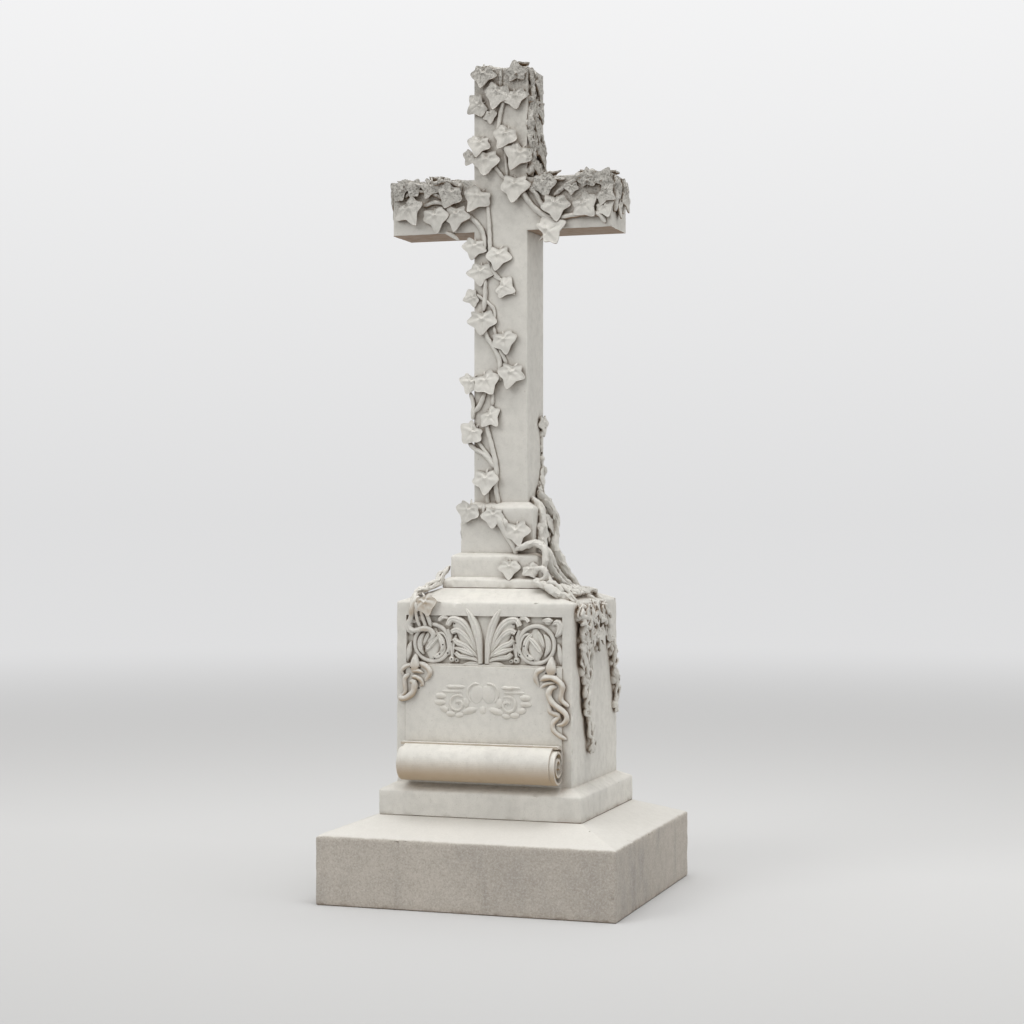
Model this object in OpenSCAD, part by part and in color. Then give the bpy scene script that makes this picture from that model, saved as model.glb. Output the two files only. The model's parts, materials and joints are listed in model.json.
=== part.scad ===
// Ivy-carved cross gravestone: a base slab, a pedestal with a carved panel and scroll,
// and a plain-sided Latin cross overgrown with carved ivy. Three stones, one on another.
// Millimetres, +Z up, the front faces -Y, origin at the centre of the slab's underside.

/* [Base slab] */
// Width of the base slab, side to side
slab_w = 880; // [860:10:960]
// Depth of the base slab, front to back
slab_d = 815; // [790:5:880]
// Height of the slab's upright sides
slab_h = 195; // [150:5:240]
// Rise of the slab's weathered top up to the plinth
slab_rise = 49; // [30:1:60]

/* [Pedestal] */
// Width of the plinth
plinth_w = 606; // [590:2:640]
// Depth of the plinth
plinth_d = 540; // [530:2:580]
// Height of the plinth's upright sides
plinth_h = 72; // [60:1:90]
// Rise of the plinth's sloped shoulder up to the die
plinth_rise = 20; // [12:1:26]
// Width of the die
die_w = 528; // [520:2:560]
// Depth of the die
die_d = 460; // [440:2:480]
// Height of the die's upright sides
die_h = 516; // [500:2:540]
// Rise of the die's weathered top up to the cross
die_rise = 38; // [30:1:50]

/* [Panel, sheet and scroll] */
// Width of the sunk panel and of the sheet below it
panel_w = 470; // [466:2:480]
// Height of the sunk panel
panel_h = 140; // [136:1:144]
// Depth to which the panel is sunk
panel_sink = 12; // [8:1:16]
// Height of the panel's lower edge above the foot of the die
panel_z = 339; // [335:1:342]
// How far the sheet stands proud of the die
sheet_t = 5; // [3:1:8]
// Radius of the rolled foot of the sheet
scroll_r = 57; // [50:1:60]
// Height of the roll's centre above the foot of the die
scroll_z = 63; // [60:1:70]

/* [Cross] */
// Side of the lower step
low_step_w = 306; // [296:2:320]
// Height of the lower step's upright side
low_step_h = 24; // [18:1:34]
// Side of the upper step
up_step_w = 268; // [260:2:280]
// Height of the upper step's upright side
up_step_h = 60; // [50:1:70]
// Width of the socket block
socket_w = 222; // [216:2:232]
// Height of the socket block's upright side
socket_h = 130; // [120:1:140]
// Width of the shaft
shaft_w = 164; // [158:2:172]
// Thickness of the shaft, arms and head, front to back
shaft_t = 155; // [148:1:160]
// Height of the shaft from the socket to the underside of the arms
shaft_h = 785; // [780:5:800]
// Span of the arms, end to end
arm_span = 670; // [660:2:690]
// Height of the arms, underside to top
arm_h = 155; // [150:1:160]
// Height of the head above the arms
head_h = 321; // [316:1:330]
// Worn bevel along the long edges
bevel = 5; // [3:1:8]

/* [Ivy] */
// How far the middle of a leaf stands out from the stone
leaf_out = 24; // [20:1:28]
// How far a leaf's rim stands out from the stone
leaf_rim = 13; // [10:1:15]
// Depth to which leaves and stems are rooted in the stone
leaf_root = 6; // [5:1:8]

/* [Hidden] */

marble = "#d6d4cc";
marble_grey = "#c4beb2";

// Slopes between the steps and blocks of the cross
low_step_rise = 8;
up_step_rise = 10;
socket_rise = 17;

plinth_z = slab_h + slab_rise;
die_z = plinth_z + plinth_h + plinth_rise;
low_step_z = die_z + die_h + die_rise;
up_step_z = low_step_z + low_step_h + low_step_rise;
socket_z = up_step_z + up_step_h + up_step_rise;
shaft_z = socket_z + socket_h + socket_rise;
arm_z = shaft_z + shaft_h;
head_z = arm_z + arm_h;
top_z = head_z + head_h;
right_corner = [low_step_w / 2, -low_step_w / 2, low_step_z];
left_corner = [-low_step_w / 2, -low_step_w / 2, low_step_z];

// Half of an ivy leaf's outline from its tip round to its stalk: the lobes and the hollows between
// them, as the angle from the tip and the distance from the middle as a share of the leaf's size
leaf_outline = [[0, 1.02], [40, 0.64], [88, 0.96], [116, 0.7], [136, 0.74], [180, 0.42]];
stem_sides = 6;

// Ivy leaves, one row each: across, up, the way the tip points (0 right, 90 up) and size.
// Heights count from the foot of the part of the cross that the group lies on.
head_leaves = [
    [-50, 303, -95, 40], [52, 302, 95, 36], [-5, 246, -105, 44], [48, 233, -82, 38],
    [-66, 213, -150, 36], [-30, 184, -80, 24], [20, 124, -112, 42], [-62, 102, -105, 38],
    [-88, 66, -115, 28], [-40, 52, -92, 45], [60, 66, -118, 45]
];
arm_leaves = [
    [48, 131, -92, 46], [-65, 101, -120, 44], [-148, 116, -115, 44], [-132, 51, -95, 44],
    [-198, 51, -78, 43], [-215, 140, -110, 34], [-262, 136, 160, 30], [-306, 132, 150, 36],
    [-280, 74, -60, 46], [135, 134, -80, 40], [172, 71, -85, 45], [218, 118, -92, 22],
    [258, 66, -50, 42], [266, 136, 90, 32], [312, 134, 60, 34], [318, 96, -30, 34], [316, 58, -60, 30]
];
shaft_leaves = [
    [-76, 743, -100, 36], [-3, 716, -95, 40], [-58, 669, -95, 40], [15, 623, -30, 34],
    [-84, 596, -160, 28], [-52, 529, -90, 42], [15, 469, -75, 40], [38, 373, -100, 42],
    [-38, 351, -60, 42], [-88, 348, -110, 36], [-28, 249, -50, 36], [-84, 203, -130, 40],
    [-42, 66, -85, 44]
];
socket_leaves = [[-82, 122, -110, 38], [-8, 108, -95, 36], [66, 62, -80, 42]];
step_leaves = [[50, 30, -90, 34], [112, 24, -60, 26]];
// The leaf that hangs below the right arm
under_arm_leaves = [[162, -12, -24, 40]];
// Leaves on the right-hand faces: back to front, up, tip and size
head_side_leaves = [
    [-8, 274, -95, 38], [18, 206, -80, 36], [-14, 150, -100, 38], [14, 92, -85, 38], [-6, 34, -95, 38]
];
shaft_side_leaves = [[50, 232, -80, 34], [26, 34, -70, 28]];
socket_side_leaves = [[-46, 62, -100, 38], [22, 92, -80, 38], [36, 40, -95, 34]];
arm_end_leaves = [[-26, 118, -100, 36], [30, 92, -80, 36], [-20, 62, -95, 32]];
// Leaves on the left-hand faces: front to back, up, tip and size
socket_left_leaves = [[58, 64, -90, 32]];
// Leaves that lie over the upper faces: across, back, tip and size
head_top_leaves = [[-40, -50, 100, 34], [46, -38, 60, 36]];
arm_top_leaves = [[-200, -46, 80, 36], [-150, -30, 60, 28], [-300, -40, 120, 34], [140, -50, 80, 34],
    [262, -44, 90, 36], [312, -30, 40, 34]];

// Stems, one row each: radius, then the points across and up that it runs through
head_stems = [
    [7, [12, 232], [0, 180], [-10, 108]], [6, [0, 262], [2, 318]], [6, [14, 84], [22, 4]],
    [6, [-24, 44], [14, -4]]
];
arm_stems = [
    [8, [-46, -48], [-52, -4], [-74, 30], [-112, 58], [-188, 92], [-238, 84]],
    [7, [-30, -60], [-34, 30], [-40, 90]],
    [7, [-170, 100], [-214, 122], [-268, 128], [-296, 112]],
    [9, [58, 130], [94, 76], [130, 44], [166, 32], [250, 40], [296, 38], [318, 12]],
    [9, [76, 142], [110, 104], [126, 76], [162, 50]],
    [7, [164, 96], [206, 128], [240, 142]],
    [7, [-168, 4], [-148, -6], [-128, -20]]
];
shaft_stems = [
    [7, [-38, -14], [-42, 60]], [8, [-2, -12], [-15, 44], [-12, 100], [-26, 164], [-44, 232]],
    [8, [-12, 96], [-46, 136], [-80, 156], [-98, 176]], [6, [-18, 112], [-72, 180]],
    [7, [-84, 240], [-82, 284], [-92, 320]], [8, [-78, 262], [-62, 282], [-46, 320]],
    [6, [-24, 280], [-22, 320]], [8, [2, 352], [-4, 420], [-38, 478], [-58, 520]],
    [6, [20, 400], [-6, 456], [-20, 510]], [6, [-20, 520], [-22, 564], [-74, 606]],
    [8, [-50, 556], [-46, 596], [-46, 650]], [6, [0, 650], [-14, 660], [-38, 700]],
    [6, [44, 600], [8, 640], [-20, 655]]
];
// Gnarled stems up the right side of the head: front to back and up
head_side_stems = [
    [11, [-62, -6], [-58, 60], [-66, 130], [-56, 190], [-64, 250], [-58, 318]],
    [10, [-20, 30], [-34, 100], [-18, 170], [-30, 240], [-26, 316]],
    [10, [40, -4], [30, 60], [44, 120]]
];
// Stem that climbs the right side of the shaft to its one leaf
shaft_side_stems = [[6, [46, 214], [50, 150], [52, 100], [46, 50], [36, -10]]];
socket_stems = [
    [11, [2, 106], [34, 50], [58, 12], [58, -8]], [9, [22, 98], [48, 44], [68, 14]],
    [9, [58, 8], [88, 24], [106, 30]], [7, [-40, 140], [-38, 100]]
];

// Vine trunks and roots that run down over the socket, the steps and the weathered top: radius,
// then points in space, as offsets from the near right corner of the lower step at its foot
corner_roots = [
    [14, [-61, 153, 275], [-35, 178, 235], [-25, 198, 195], [-25, 193, 155], [-18, 173, 115], [-3, 188, 70],
        [12, 213, 35], [37, 263, -12], [80, 290, -26]],
    [12, [-65, 108, 260], [-41, 103, 230], [-31, 93, 190], [-35, 81, 150], [-25, 78, 118], [-3, 75, 95],
        [2, 93, 60], [12, 153, 25], [37, 213, -8], [72, 243, -22], [108, 250, -42]],
    [10, [-91, 31, 110], [-63, 25, 122], [-33, 23, 130], [-13, 28, 126], [-3, 43, 106], [-1, 58, 78],
        [7, 73, 50], [32, 113, 10], [72, 173, -20], [110, 190, -46]],
    [9, [-33, 28, 128], [-3, 18, 115], [4, 13, 80], [0, 11, 60], [12, 13, 30], [37, 3, 0], [76, -10, -20],
        [104, -20, -40]],
    [10, [-23, -12, 25], [-3, -22, 15], [32, -12, 2], [62, -7, -14], [96, -14, -32], [112, -20, -60]],
    [13, [12, -17, 12], [37, -42, 0], [62, -42, -14], [92, -22, -30], [109, -12, -50], [116, -8, -90]]
];
// Vines that run down over the near left of the weathered top towards the panel,
// as offsets from the near left corner of the lower step at its foot
left_vine = [
    [8, [3, 33, 55], [-3, 13, 37], [-5, 0, 18], [-20, -20, 5], [-36, -34, -4], [-50, -50, -10],
        [-60, -68, -22], [-62, -82, -42], [-62, -86, -72]],
    [7, [8, 40, 62], [4, 22, 48], [-8, 2, 26], [-24, -12, 10], [-44, -28, 0], [-56, -48, -4],
        [-56, -72, -22], [-48, -84, -44], [-44, -86, -66]]
];
// Leaves on the right-hand slope of the weathered top: down the slope, front to back, tip and size
slope_leaves = [
    [-14, -168, -40, 34], [24, -122, -20, 38], [-22, -98, 20, 34], [30, -52, -10, 38],
    [20, 24, 10, 36], [26, 96, -15, 34]
];

// Leaves and two hanging sprays on the die's right side: front to back, up from its foot, tip, size
die_side_leaves = [
    [-190, 452, -100, 42], [-150, 486, -70, 40], [-100, 462, -100, 46], [-50, 480, -80, 44],
    [0, 452, -95, 46], [52, 478, -85, 44], [100, 462, -100, 46], [150, 480, -80, 44],
    [-176, 388, -90, 44], [-120, 396, -80, 46],
    [-60, 388, -100, 42], [70, 400, -85, 42], [128, 392, -95, 44], [-150, 318, -95, 42], [-100, 326, -80, 40],
    [150, 324, -90, 42], [-128, 250, -90, 42], [156, 256, -95, 38], [-100, 186, -85, 38], [170, 190, -90, 30],
    [-92, 122, -90, 32]
];
die_side_stems = [[9, [-190, 500], [-150, 420], [-120, 300], [-104, 180], [-92, 100]],
    [8, [90, 500], [120, 420], [150, 300], [168, 200]]];
// The big leaf that lies over the edge above the panel's left end
die_front_leaves = [[-171, 514, -75, 46]];

// Strands that gather below that leaf and loop into the left-hand ring, over the panel's floor
ring_strands = [
    [6, [-212, 178, 20], [-214, 148, 16], [-222, 124, 12], [-226, 108, 9], [-214, 95, 12], [-186, 99, 15]],
    [6, [-200, 172, 20], [-202, 148, 18], [-198, 126, 16], [-190, 104, 13]],
    [6, [-186, 168, 20], [-184, 144, 18], [-178, 122, 16], [-172, 102, 13]],
    [6, [-176, 160, 20], [-168, 138, 17], [-162, 120, 14], [-160, 104, 11]],
    [8, [-204, 96, 12], [-180, 101, 16], [-160, 98, 15], [-151, 84, 12], [-158, 70, 9], [-172, 60, 5]]
];
// Knotted strands at the sheet's upper corners, from the middle of the panel's lower edge
left_knot = [
    [9, [-191, 3, 4], [-172, -6, 7], [-158, -20, 8], [-162, -35, 7], [-176, -49, 4]],
    [7, [-216, -3, 5], [-235, -9, 6], [-246, -23, 5], [-238, -34, 4]],
    [7, [-216, -22, 6], [-196, -20, 9], [-178, -26, 7]],
    [7, [-213, -37, 8], [-200, -37, 11], [-185, -46, 10], [-181, -58, 8], [-191, -61, 5]],
    [7, [-221, -29, 5], [-235, -41, 8], [-235, -61, 9], [-233, -80, 8], [-241, -89, 6], [-256, -93, 4]],
    [10, [-220, -52, 6], [-205, -52, 10], [-205, -68, 11], [-210, -83, 11], [-228, -97, 10], [-244, -100, 9],
        [-256, -98, 5]],
    [13, [-205, 26, 2], [-205, 6, 5], [-205, -12, 5]]
];
right_knot = [
    [9, [171, -40, 4], [188, -31, 9], [210, -31, 11], [230, -43, 11], [238, -57, 10], [233, -76, 9],
        [233, -92, 7], [245, -104, 5], [254, -110, 3]],
    [9, [220, -57, 6], [206, -59, 11], [198, -76, 13], [208, -99, 13], [230, -116, 12], [246, -130, 10],
        [250, -146, 9], [238, -160, 8], [220, -163, 6]],
    [8, [197, -102, 4], [203, -127, 7], [220, -132, 9], [228, -139, 8], [211, -156, 9], [211, -177, 9],
        [230, -193, 8], [248, -202, 5]],
    [8, [186, -5, 5], [164, -14, 7], [158, -33, 7], [168, -57, 4]],
    [7, [172, -60, 4], [190, -48, 7], [215, -45, 7]],
    [13, [203, 24, 2], [203, 6, 5], [203, -14, 5]]
];
// Curled leaves of the right half of the panel: radius at the root, then points over its floor
panel_curls = [
    [9, [10, 8, 2], [14, 60, 3], [24, 108, 4], [38, 140, 8], [53, 161, 13]],
    [9, [22, 60, 2], [34, 96, 3], [52, 120, 3], [78, 128, 3], [98, 121, 2], [102, 106, 1]],
    [8, [30, 72, 1], [46, 90, 3], [66, 96, 3], [84, 88, 2], [88, 76, 1]],
    [8, [22, 50, 1], [44, 68, 3], [64, 72, 3], [80, 60, 2], [80, 48, 1]],
    [8, [16, 30, 1], [44, 44, 3], [62, 48, 3], [77, 38, 2], [76, 24, 1]],
    [8, [10, 10, 1], [40, 12, 2], [66, 16, 2], [97, 15, 3]],
    [7, [97, 18, 2], [98, 42, 3], [100, 62, 3], [108, 88, 2]],
    [10, [178, 128, 1], [190, 129, 3], [202, 127, 1]],
    [12, [204, 116, 1], [218, 122, 3], [225, 112, 3], [222, 92, 1]],
    [8, [220, 62, 1], [225, 40, 2], [230, 8, 1]]
];

// ---- helpers -------------------------------------------------------------------------

function unit(v) = v / norm(v);

// Direction of a path at point i
function heading(path, i) = unit(path[min(i + 1, len(path) - 1)] - path[max(i - 1, 0)]);

// Ring of points square to direction t
function ring(centre, t, side, r) =
    let (a = unit(cross(t, side)), b = cross(a, t))
    [for (k = [0:stem_sides - 1]) let (t = 360 * k / stem_sides) centre + r * (cos(t) * a + sin(t) * b)];

// Round stem swept along a path, its radius given at both ends
module swept(path, r_start, r_end, side = [0, 0, 1]) {
    last = len(path) - 1;
    n = stem_sides;
    rings = [for (i = [0:last])
        ring(path[i], heading(path, i), side, r_start + (r_end - r_start) * i / last)];
    walls = [for (i = [0:last - 1]) for (k = [0:n - 1])
        let (a = i * n + k, b = i * n + (k + 1) % n) each [[a, b, b + n], [a, b + n, a + n]]];
    polyhedron([for (r = rings) each r],
        concat(walls, [[for (k = [n - 1:-1:0]) k]], [[for (k = [0:n - 1]) last * n + k]]));
}

// Lobe tips and hollows all the way round a leaf of size 1
leaf_corners = let (half = leaf_outline, n = len(half)) [
    for (q = half) q[1] * [cos(q[0]), sin(q[0])],
    for (i = [n - 2:-1:1]) half[i][1] * [cos(half[i][0]), -sin(half[i][0])]
];

// Five-lobed ivy leaf in the XY plane, crowned along +Z, its tip along +X. Its thin rim stands clear
// of the stone, and its underside narrows to a point rooted in it.
module ivy_leaf(size, root, rim, crown) {
    n = len(leaf_corners);
    under = [for (p = leaf_corners) [0.9 * size * p.x, 0.9 * size * p.y, 0.3 * rim]];
    edge = [for (p = leaf_corners) [size * p.x, size * p.y, rim * (1.3 - 0.35 * norm(p))]];
    middle = [[0.1 * size, 0, crown], [0, 0, -3 * root]];
    walls = [for (i = [0:n - 1]) let (j = (i + 1) % n)
        each [[i, i + n, j + n], [i, j + n, j], [j + n, i + n, 2 * n], [i, j, 2 * n + 1]]];
    polyhedron(concat(under, edge, middle), walls);
}

// Row of leaves on a face; neighbours differ a little in how far they stand out
module leaves(rows, u = 0, v = 0) {
    for (i = [0:len(rows) - 1]) {
        row = rows[i];
        lift = 1.7 * (i % 4);
        translate([u + row[0], v + row[1], 0])
            rotate(row[2])
                ivy_leaf(row[3], leaf_root + 0.6 * lift, leaf_rim * min(1, row[3] / 36) + lift,
                    leaf_out * min(1, row[3] / 36) + lift);
    }
}

// Stems on a face, half sunk in it
module stems(rows, v = 0) {
    for (row = rows) {
        path = [for (i = [1:len(row) - 1]) [row[i][0], row[i][1] + v, 0.45 * row[0]]];
        swept(path, row[0], 0.85 * row[0]);
    }
}

// Stems through points in space, counted from a corner; the part above or below height z is kept
module roots(rows, corner, z, above) {
    reach = slab_w;
    intersection() {
        union() {
            for (row = rows)
                swept([for (i = [1:len(row) - 1]) row[i] + corner], row[0], 0.75 * row[0], [0.3, 1, 0.2]);
        }
        translate([-reach / 2, -reach / 2, above ? z : z - reach])
            cube(reach);
    }
}

// Frames that lay a face's across, up and out directions on the stone
module on_front(y) { translate([0, -y, 0]) rotate([90, 0, 0]) children(); }
module on_right(x) { translate([x, 0, 0]) rotate([90, 0, 90]) children(); }
module on_left(x) { translate([-x, 0, 0]) rotate([90, 0, -90]) children(); }
module on_top(z) { translate([0, 0, z]) children(); }
module on_right_slope() {
    run = (die_w - low_step_w) / 2;
    translate([low_step_w / 2 + run / 2, 0, low_step_z - die_rise / 2])
        rotate([0, atan(die_rise / run), 0])
            children();
}

// Outline of a block with a sloped top, from the middle of its foot
function block_outline(w, h, rise, top_w) =
    [[-w / 2, 0], [w / 2, 0], [w / 2, h], [top_w / 2, h + rise], [-top_w / 2, h + rise], [-w / 2, h]];

// Block whose top slopes up on all four sides
module weathered_block(w, d, h, rise, top_w, top_d) {
    intersection() {
        translate([0, d, 0])
            rotate([90, 0, 0])
                linear_extrude(2 * d) polygon(block_outline(w, h, rise, top_w));
        translate([-w, 0, 0])
            rotate([90, 0, 90])
                linear_extrude(2 * w) polygon(block_outline(d, h, rise, top_d));
    }
}

// Bar with bevelled long edges, standing on XY
module bevelled_bar(w, d, h) {
    linear_extrude(h)
        polygon([for (q = [[1, 1], [-1, 1], [-1, -1], [1, -1]])
            let (x = q[0] * w / 2, y = q[1] * d / 2, bx = q[0] * bevel, by = q[1] * bevel)
            each (q[0] * q[1] > 0 ? [[x, y - by], [x - bx, y]] : [[x - bx, y], [x, y - by]])]);
}

// ---- pedestal carving, on the die's front face -----------------------------------------

// Tapered strands through rows of points; tip is the radius left at the end
module strands(rows, tip) {
    for (row = rows)
        swept([for (i = [1:len(row) - 1]) row[i]], row[0], tip * row[0]);
}

// Half of the panel's carving; the other half mirrors it
module panel_half() {
    ring_x = 156;
    ring_z = 60;
    // Scrolling ring with a three-part leaf in it
    translate([ring_x, ring_z, 0]) {
        rotate_extrude($fn = 48) translate([52, 0]) circle(7, $fn = 24);
        for (a = [60, 180, 300])
            rotate(a) translate([4, 0, 0]) ivy_leaf(28, 4, 4, 10);
    }
    strands(panel_curls, 0.5);
}

// Low worn ornament in the middle of the sheet: bars and two rosettes
module sheet_ornament() {
    petals = 6;
    for (s = [-1, 1]) {
        translate([s * 78, 0, -2]) {
            cylinder(r = 9, h = 6, $fn = 24);
            for (k = [0:petals - 1])
                rotate(k * 360 / petals) translate([18, 0, 0]) cylinder(r = 8.5, h = 5, $fn = 24);
        }
        translate([s * 82 - 35, 42, -2]) cube([70, 10, 5]);
        translate([s * 24, 30, -2]) cylinder(r = 17, h = 4.5, $fn = 32);
        for (k = [-1:1])
            translate([s * 128, k * 24, -2]) cylinder(r = 10 - 2 * abs(k), h = 4.6, $fn = 24);
    }
}

// ---- stones ----------------------------------------------------------------------------

module base_slab() {
    color(marble_grey)
        weathered_block(slab_w, slab_d, slab_h, slab_rise, plinth_w, plinth_d);
}

// Plinth, die and weathered top, with the panel sunk in the front
module pedestal_block() {
    translate([0, 0, plinth_z])
        weathered_block(plinth_w, plinth_d, plinth_h, plinth_rise, die_w, die_d);
    difference() {
        translate([0, 0, die_z])
            weathered_block(die_w, die_d, die_h, die_rise, low_step_w, low_step_w);
        translate([-panel_w / 2, -die_d / 2 - 1, die_z + panel_z])
            cube([panel_w, panel_sink + 1, panel_h]);
    }
}

// The sheet hangs below the panel and rolls up forward into the scroll
module sheet_and_scroll() {
    turns = 3;
    translate([-panel_w / 2, -die_d / 2 - sheet_t, die_z + scroll_z])
        cube([panel_w, sheet_t + 2, panel_z - scroll_z - 4]);
    translate([0, -die_d / 2 - 0.6 * scroll_r, die_z + scroll_z])
        rotate([0, 90, 0])
            difference() {
                cylinder(r = scroll_r, h = panel_w - 2, center = true, $fn = 64);
                for (end = [-1, 1], k = [1:turns])
                    translate([0, 0, end * panel_w / 2])
                        difference() {
                            cylinder(r = scroll_r * k / (turns + 0.5), h = 14, center = true, $fn = 64);
                            cylinder(r = scroll_r * k / (turns + 0.5) - 5, h = 16, center = true, $fn = 64);
                        }
            }
}

module pedestal() {
    color(marble) {
        pedestal_block();
        sheet_and_scroll();
        on_front(die_d / 2 - panel_sink)
            translate([0, die_z + panel_z, 0]) {
                panel_half();
                mirror([1, 0, 0]) panel_half();
                strands(ring_strands, 0.9);
            }
        on_front(die_d / 2 + sheet_t)
            translate([0, die_z + 226, 0]) sheet_ornament();
        on_front(die_d / 2) {
            translate([0, die_z + panel_z, 0]) {
                strands(left_knot, 0.8);
                strands(right_knot, 0.8);
            }
            leaves(die_front_leaves, 0, die_z);
        }
        on_right(die_w / 2) {
            leaves(die_side_leaves, 0, die_z);
            stems(die_side_stems, die_z);
        }
        on_right_slope() leaves(slope_leaves);
        roots(corner_roots, right_corner, low_step_z, false);
        roots(left_vine, left_corner, low_step_z, false);
    }
}

// Steps, socket, shaft, arms and head, before the ivy
module cross_block() {
    translate([0, 0, low_step_z])
        weathered_block(low_step_w, low_step_w, low_step_h, low_step_rise, up_step_w, up_step_w);
    translate([0, 0, up_step_z])
        weathered_block(up_step_w, up_step_w, up_step_h, up_step_rise, socket_w, socket_w);
    translate([0, 0, socket_z])
        weathered_block(socket_w, socket_w, socket_h, socket_rise, shaft_w, shaft_t);
    translate([0, 0, shaft_z])
        bevelled_bar(shaft_w, shaft_t, top_z - shaft_z);
    translate([-arm_span / 2, 0, arm_z + arm_h / 2])
        rotate([0, 90, 0]) bevelled_bar(arm_h, shaft_t - 1, arm_span);
}

module cross() {
    color(marble) {
        cross_block();
        on_front(shaft_t / 2) {
            leaves(head_leaves, 0, head_z);
            stems(head_stems, head_z);
            leaves(arm_leaves, 0, arm_z);
            stems(arm_stems, arm_z);
            leaves(shaft_leaves, 0, shaft_z);
            stems(shaft_stems, shaft_z);
            leaves(under_arm_leaves, 0, arm_z);
        }
        on_front(socket_w / 2) {
            leaves(socket_leaves, 0, socket_z);
            stems(socket_stems, socket_z);
        }
        on_front(up_step_w / 2) leaves(step_leaves, 0, up_step_z);
        on_right(shaft_w / 2) {
            leaves(head_side_leaves, 0, head_z);
            stems(head_side_stems, head_z);
            leaves(shaft_side_leaves, 0, shaft_z);
            stems(shaft_side_stems, shaft_z);
        }
        on_right(socket_w / 2) leaves(socket_side_leaves, 0, socket_z);
        on_right(arm_span / 2) leaves(arm_end_leaves, 0, arm_z);
        on_left(arm_span / 2) leaves(arm_end_leaves, 0, arm_z);
        on_left(socket_w / 2) leaves(socket_left_leaves, 0, socket_z);
        on_top(top_z) leaves(head_top_leaves);
        on_top(head_z) leaves(arm_top_leaves);
        roots(corner_roots, right_corner, low_step_z, true);
        roots(left_vine, left_corner, low_step_z, true);
    }
}

base_slab();
pedestal();
cross();
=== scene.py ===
import json
import math
import random
from collections import namedtuple

import bmesh
import bpy
from bpy.props import FloatProperty, FloatVectorProperty, IntProperty, PointerProperty
from mathutils import Matrix, Vector, noise

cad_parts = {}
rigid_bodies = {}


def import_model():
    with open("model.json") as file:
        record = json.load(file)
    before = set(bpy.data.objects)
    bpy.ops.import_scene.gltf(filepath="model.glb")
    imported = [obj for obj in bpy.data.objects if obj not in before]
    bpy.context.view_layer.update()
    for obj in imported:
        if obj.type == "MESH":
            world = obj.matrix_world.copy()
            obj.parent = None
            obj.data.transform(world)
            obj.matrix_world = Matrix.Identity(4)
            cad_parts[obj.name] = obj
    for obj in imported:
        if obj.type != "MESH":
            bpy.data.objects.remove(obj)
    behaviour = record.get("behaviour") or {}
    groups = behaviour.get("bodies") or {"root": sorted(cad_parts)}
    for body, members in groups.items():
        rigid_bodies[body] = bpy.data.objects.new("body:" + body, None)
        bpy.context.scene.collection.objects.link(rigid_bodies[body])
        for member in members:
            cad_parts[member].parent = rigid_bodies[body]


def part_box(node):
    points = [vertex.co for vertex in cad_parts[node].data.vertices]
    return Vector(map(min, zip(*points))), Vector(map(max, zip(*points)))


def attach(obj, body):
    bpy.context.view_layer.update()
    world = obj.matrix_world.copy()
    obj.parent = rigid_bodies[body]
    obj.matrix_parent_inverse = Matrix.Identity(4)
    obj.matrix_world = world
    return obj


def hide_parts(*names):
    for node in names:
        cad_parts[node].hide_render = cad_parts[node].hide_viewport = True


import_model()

bl_info = {
    "name": "Ivy Cross Gravestone",
    "version": (1, 0, 0),
    "blender": (4, 5, 0),
    "location": "View3D > Sidebar > Gravestone",
    "description": "Carves a marble cross overgrown with ivy, its pedestal and its base slab",
    "category": "Add Mesh",
}

# Everything is modelled in millimetres and turned into metres when a mesh is made.
MM = 0.001
SLAB_LOW, SLAB_HIGH = (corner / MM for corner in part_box("base_slab"))
PLINTH_Z = SLAB_HIGH.z
CROSS_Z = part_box("cross")[0].z / MM


# ---- sizes and colours a user may change --------------------------------------------------


def length(name, about, default):
    return FloatProperty(name=name, description=about, default=default, unit="LENGTH")


def stone_colour(name, about, default):
    return FloatVectorProperty(name=name, description=about, subtype="COLOR", size=4, default=default)


class StoneSizes(bpy.types.PropertyGroup):
    """Sizes of the plain blocks."""

    plinth_w: length("Plinth Width", "Width of the plinth", 0.606)
    plinth_d: length("Plinth Depth", "Depth of the plinth", 0.540)
    die_w: length("Die Width", "Width of the die", 0.528)
    die_d: length("Die Depth", "Depth of the die", 0.460)
    panel_w: length("Panel Width", "Width of the sunk panel", 0.470)
    scroll_r: length("Scroll Radius", "Radius of the scroll", 0.057)
    shaft_w: length("Shaft Width", "Width of the shaft", 0.164)
    shaft_t: length("Shaft Thickness", "Thickness of the cross", 0.155)
    arm_span: length("Arm Span", "Span of the arms", 0.670)
    wear: length("Edge Wear", "How far the arrises are worn back", 0.004)


class IvySizes(bpy.types.PropertyGroup):
    """How boldly the ivy is carved."""

    relief: FloatProperty(name="Relief", description="Share of a leaf's size that it stands out", default=1.0)
    unevenness: FloatProperty(name="Unevenness", description="How much the leaves differ", default=1.0)
    seed: IntProperty(name="Seed", description="Start of the random differences between leaves", default=7)


class MarbleColours(bpy.types.PropertyGroup):
    """Colours of the stone, of what has settled on it and of the shade painted in its hollows."""

    clean: stone_colour("Clean Marble", "Washed faces", (0.70, 0.68, 0.63, 1))
    shade: stone_colour("Clouded Marble", "Greyer clouds in it", (0.60, 0.585, 0.545, 1))
    slab: stone_colour("Slab Marble", "Coarser stone of the slab", (0.42, 0.385, 0.34, 1))
    # Grime also paints the shade in the hollows and cuts, not only brown dirt.
    grime_and_shade: stone_colour("Grime", "Brown dirt in the hollows", (0.235, 0.155, 0.09, 1))
    lichen: stone_colour("Lichen", "Grey growth on the high tops", (0.165, 0.155, 0.14, 1))


# ---- layout of the carving, in millimetres -------------------------------------------------

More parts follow.
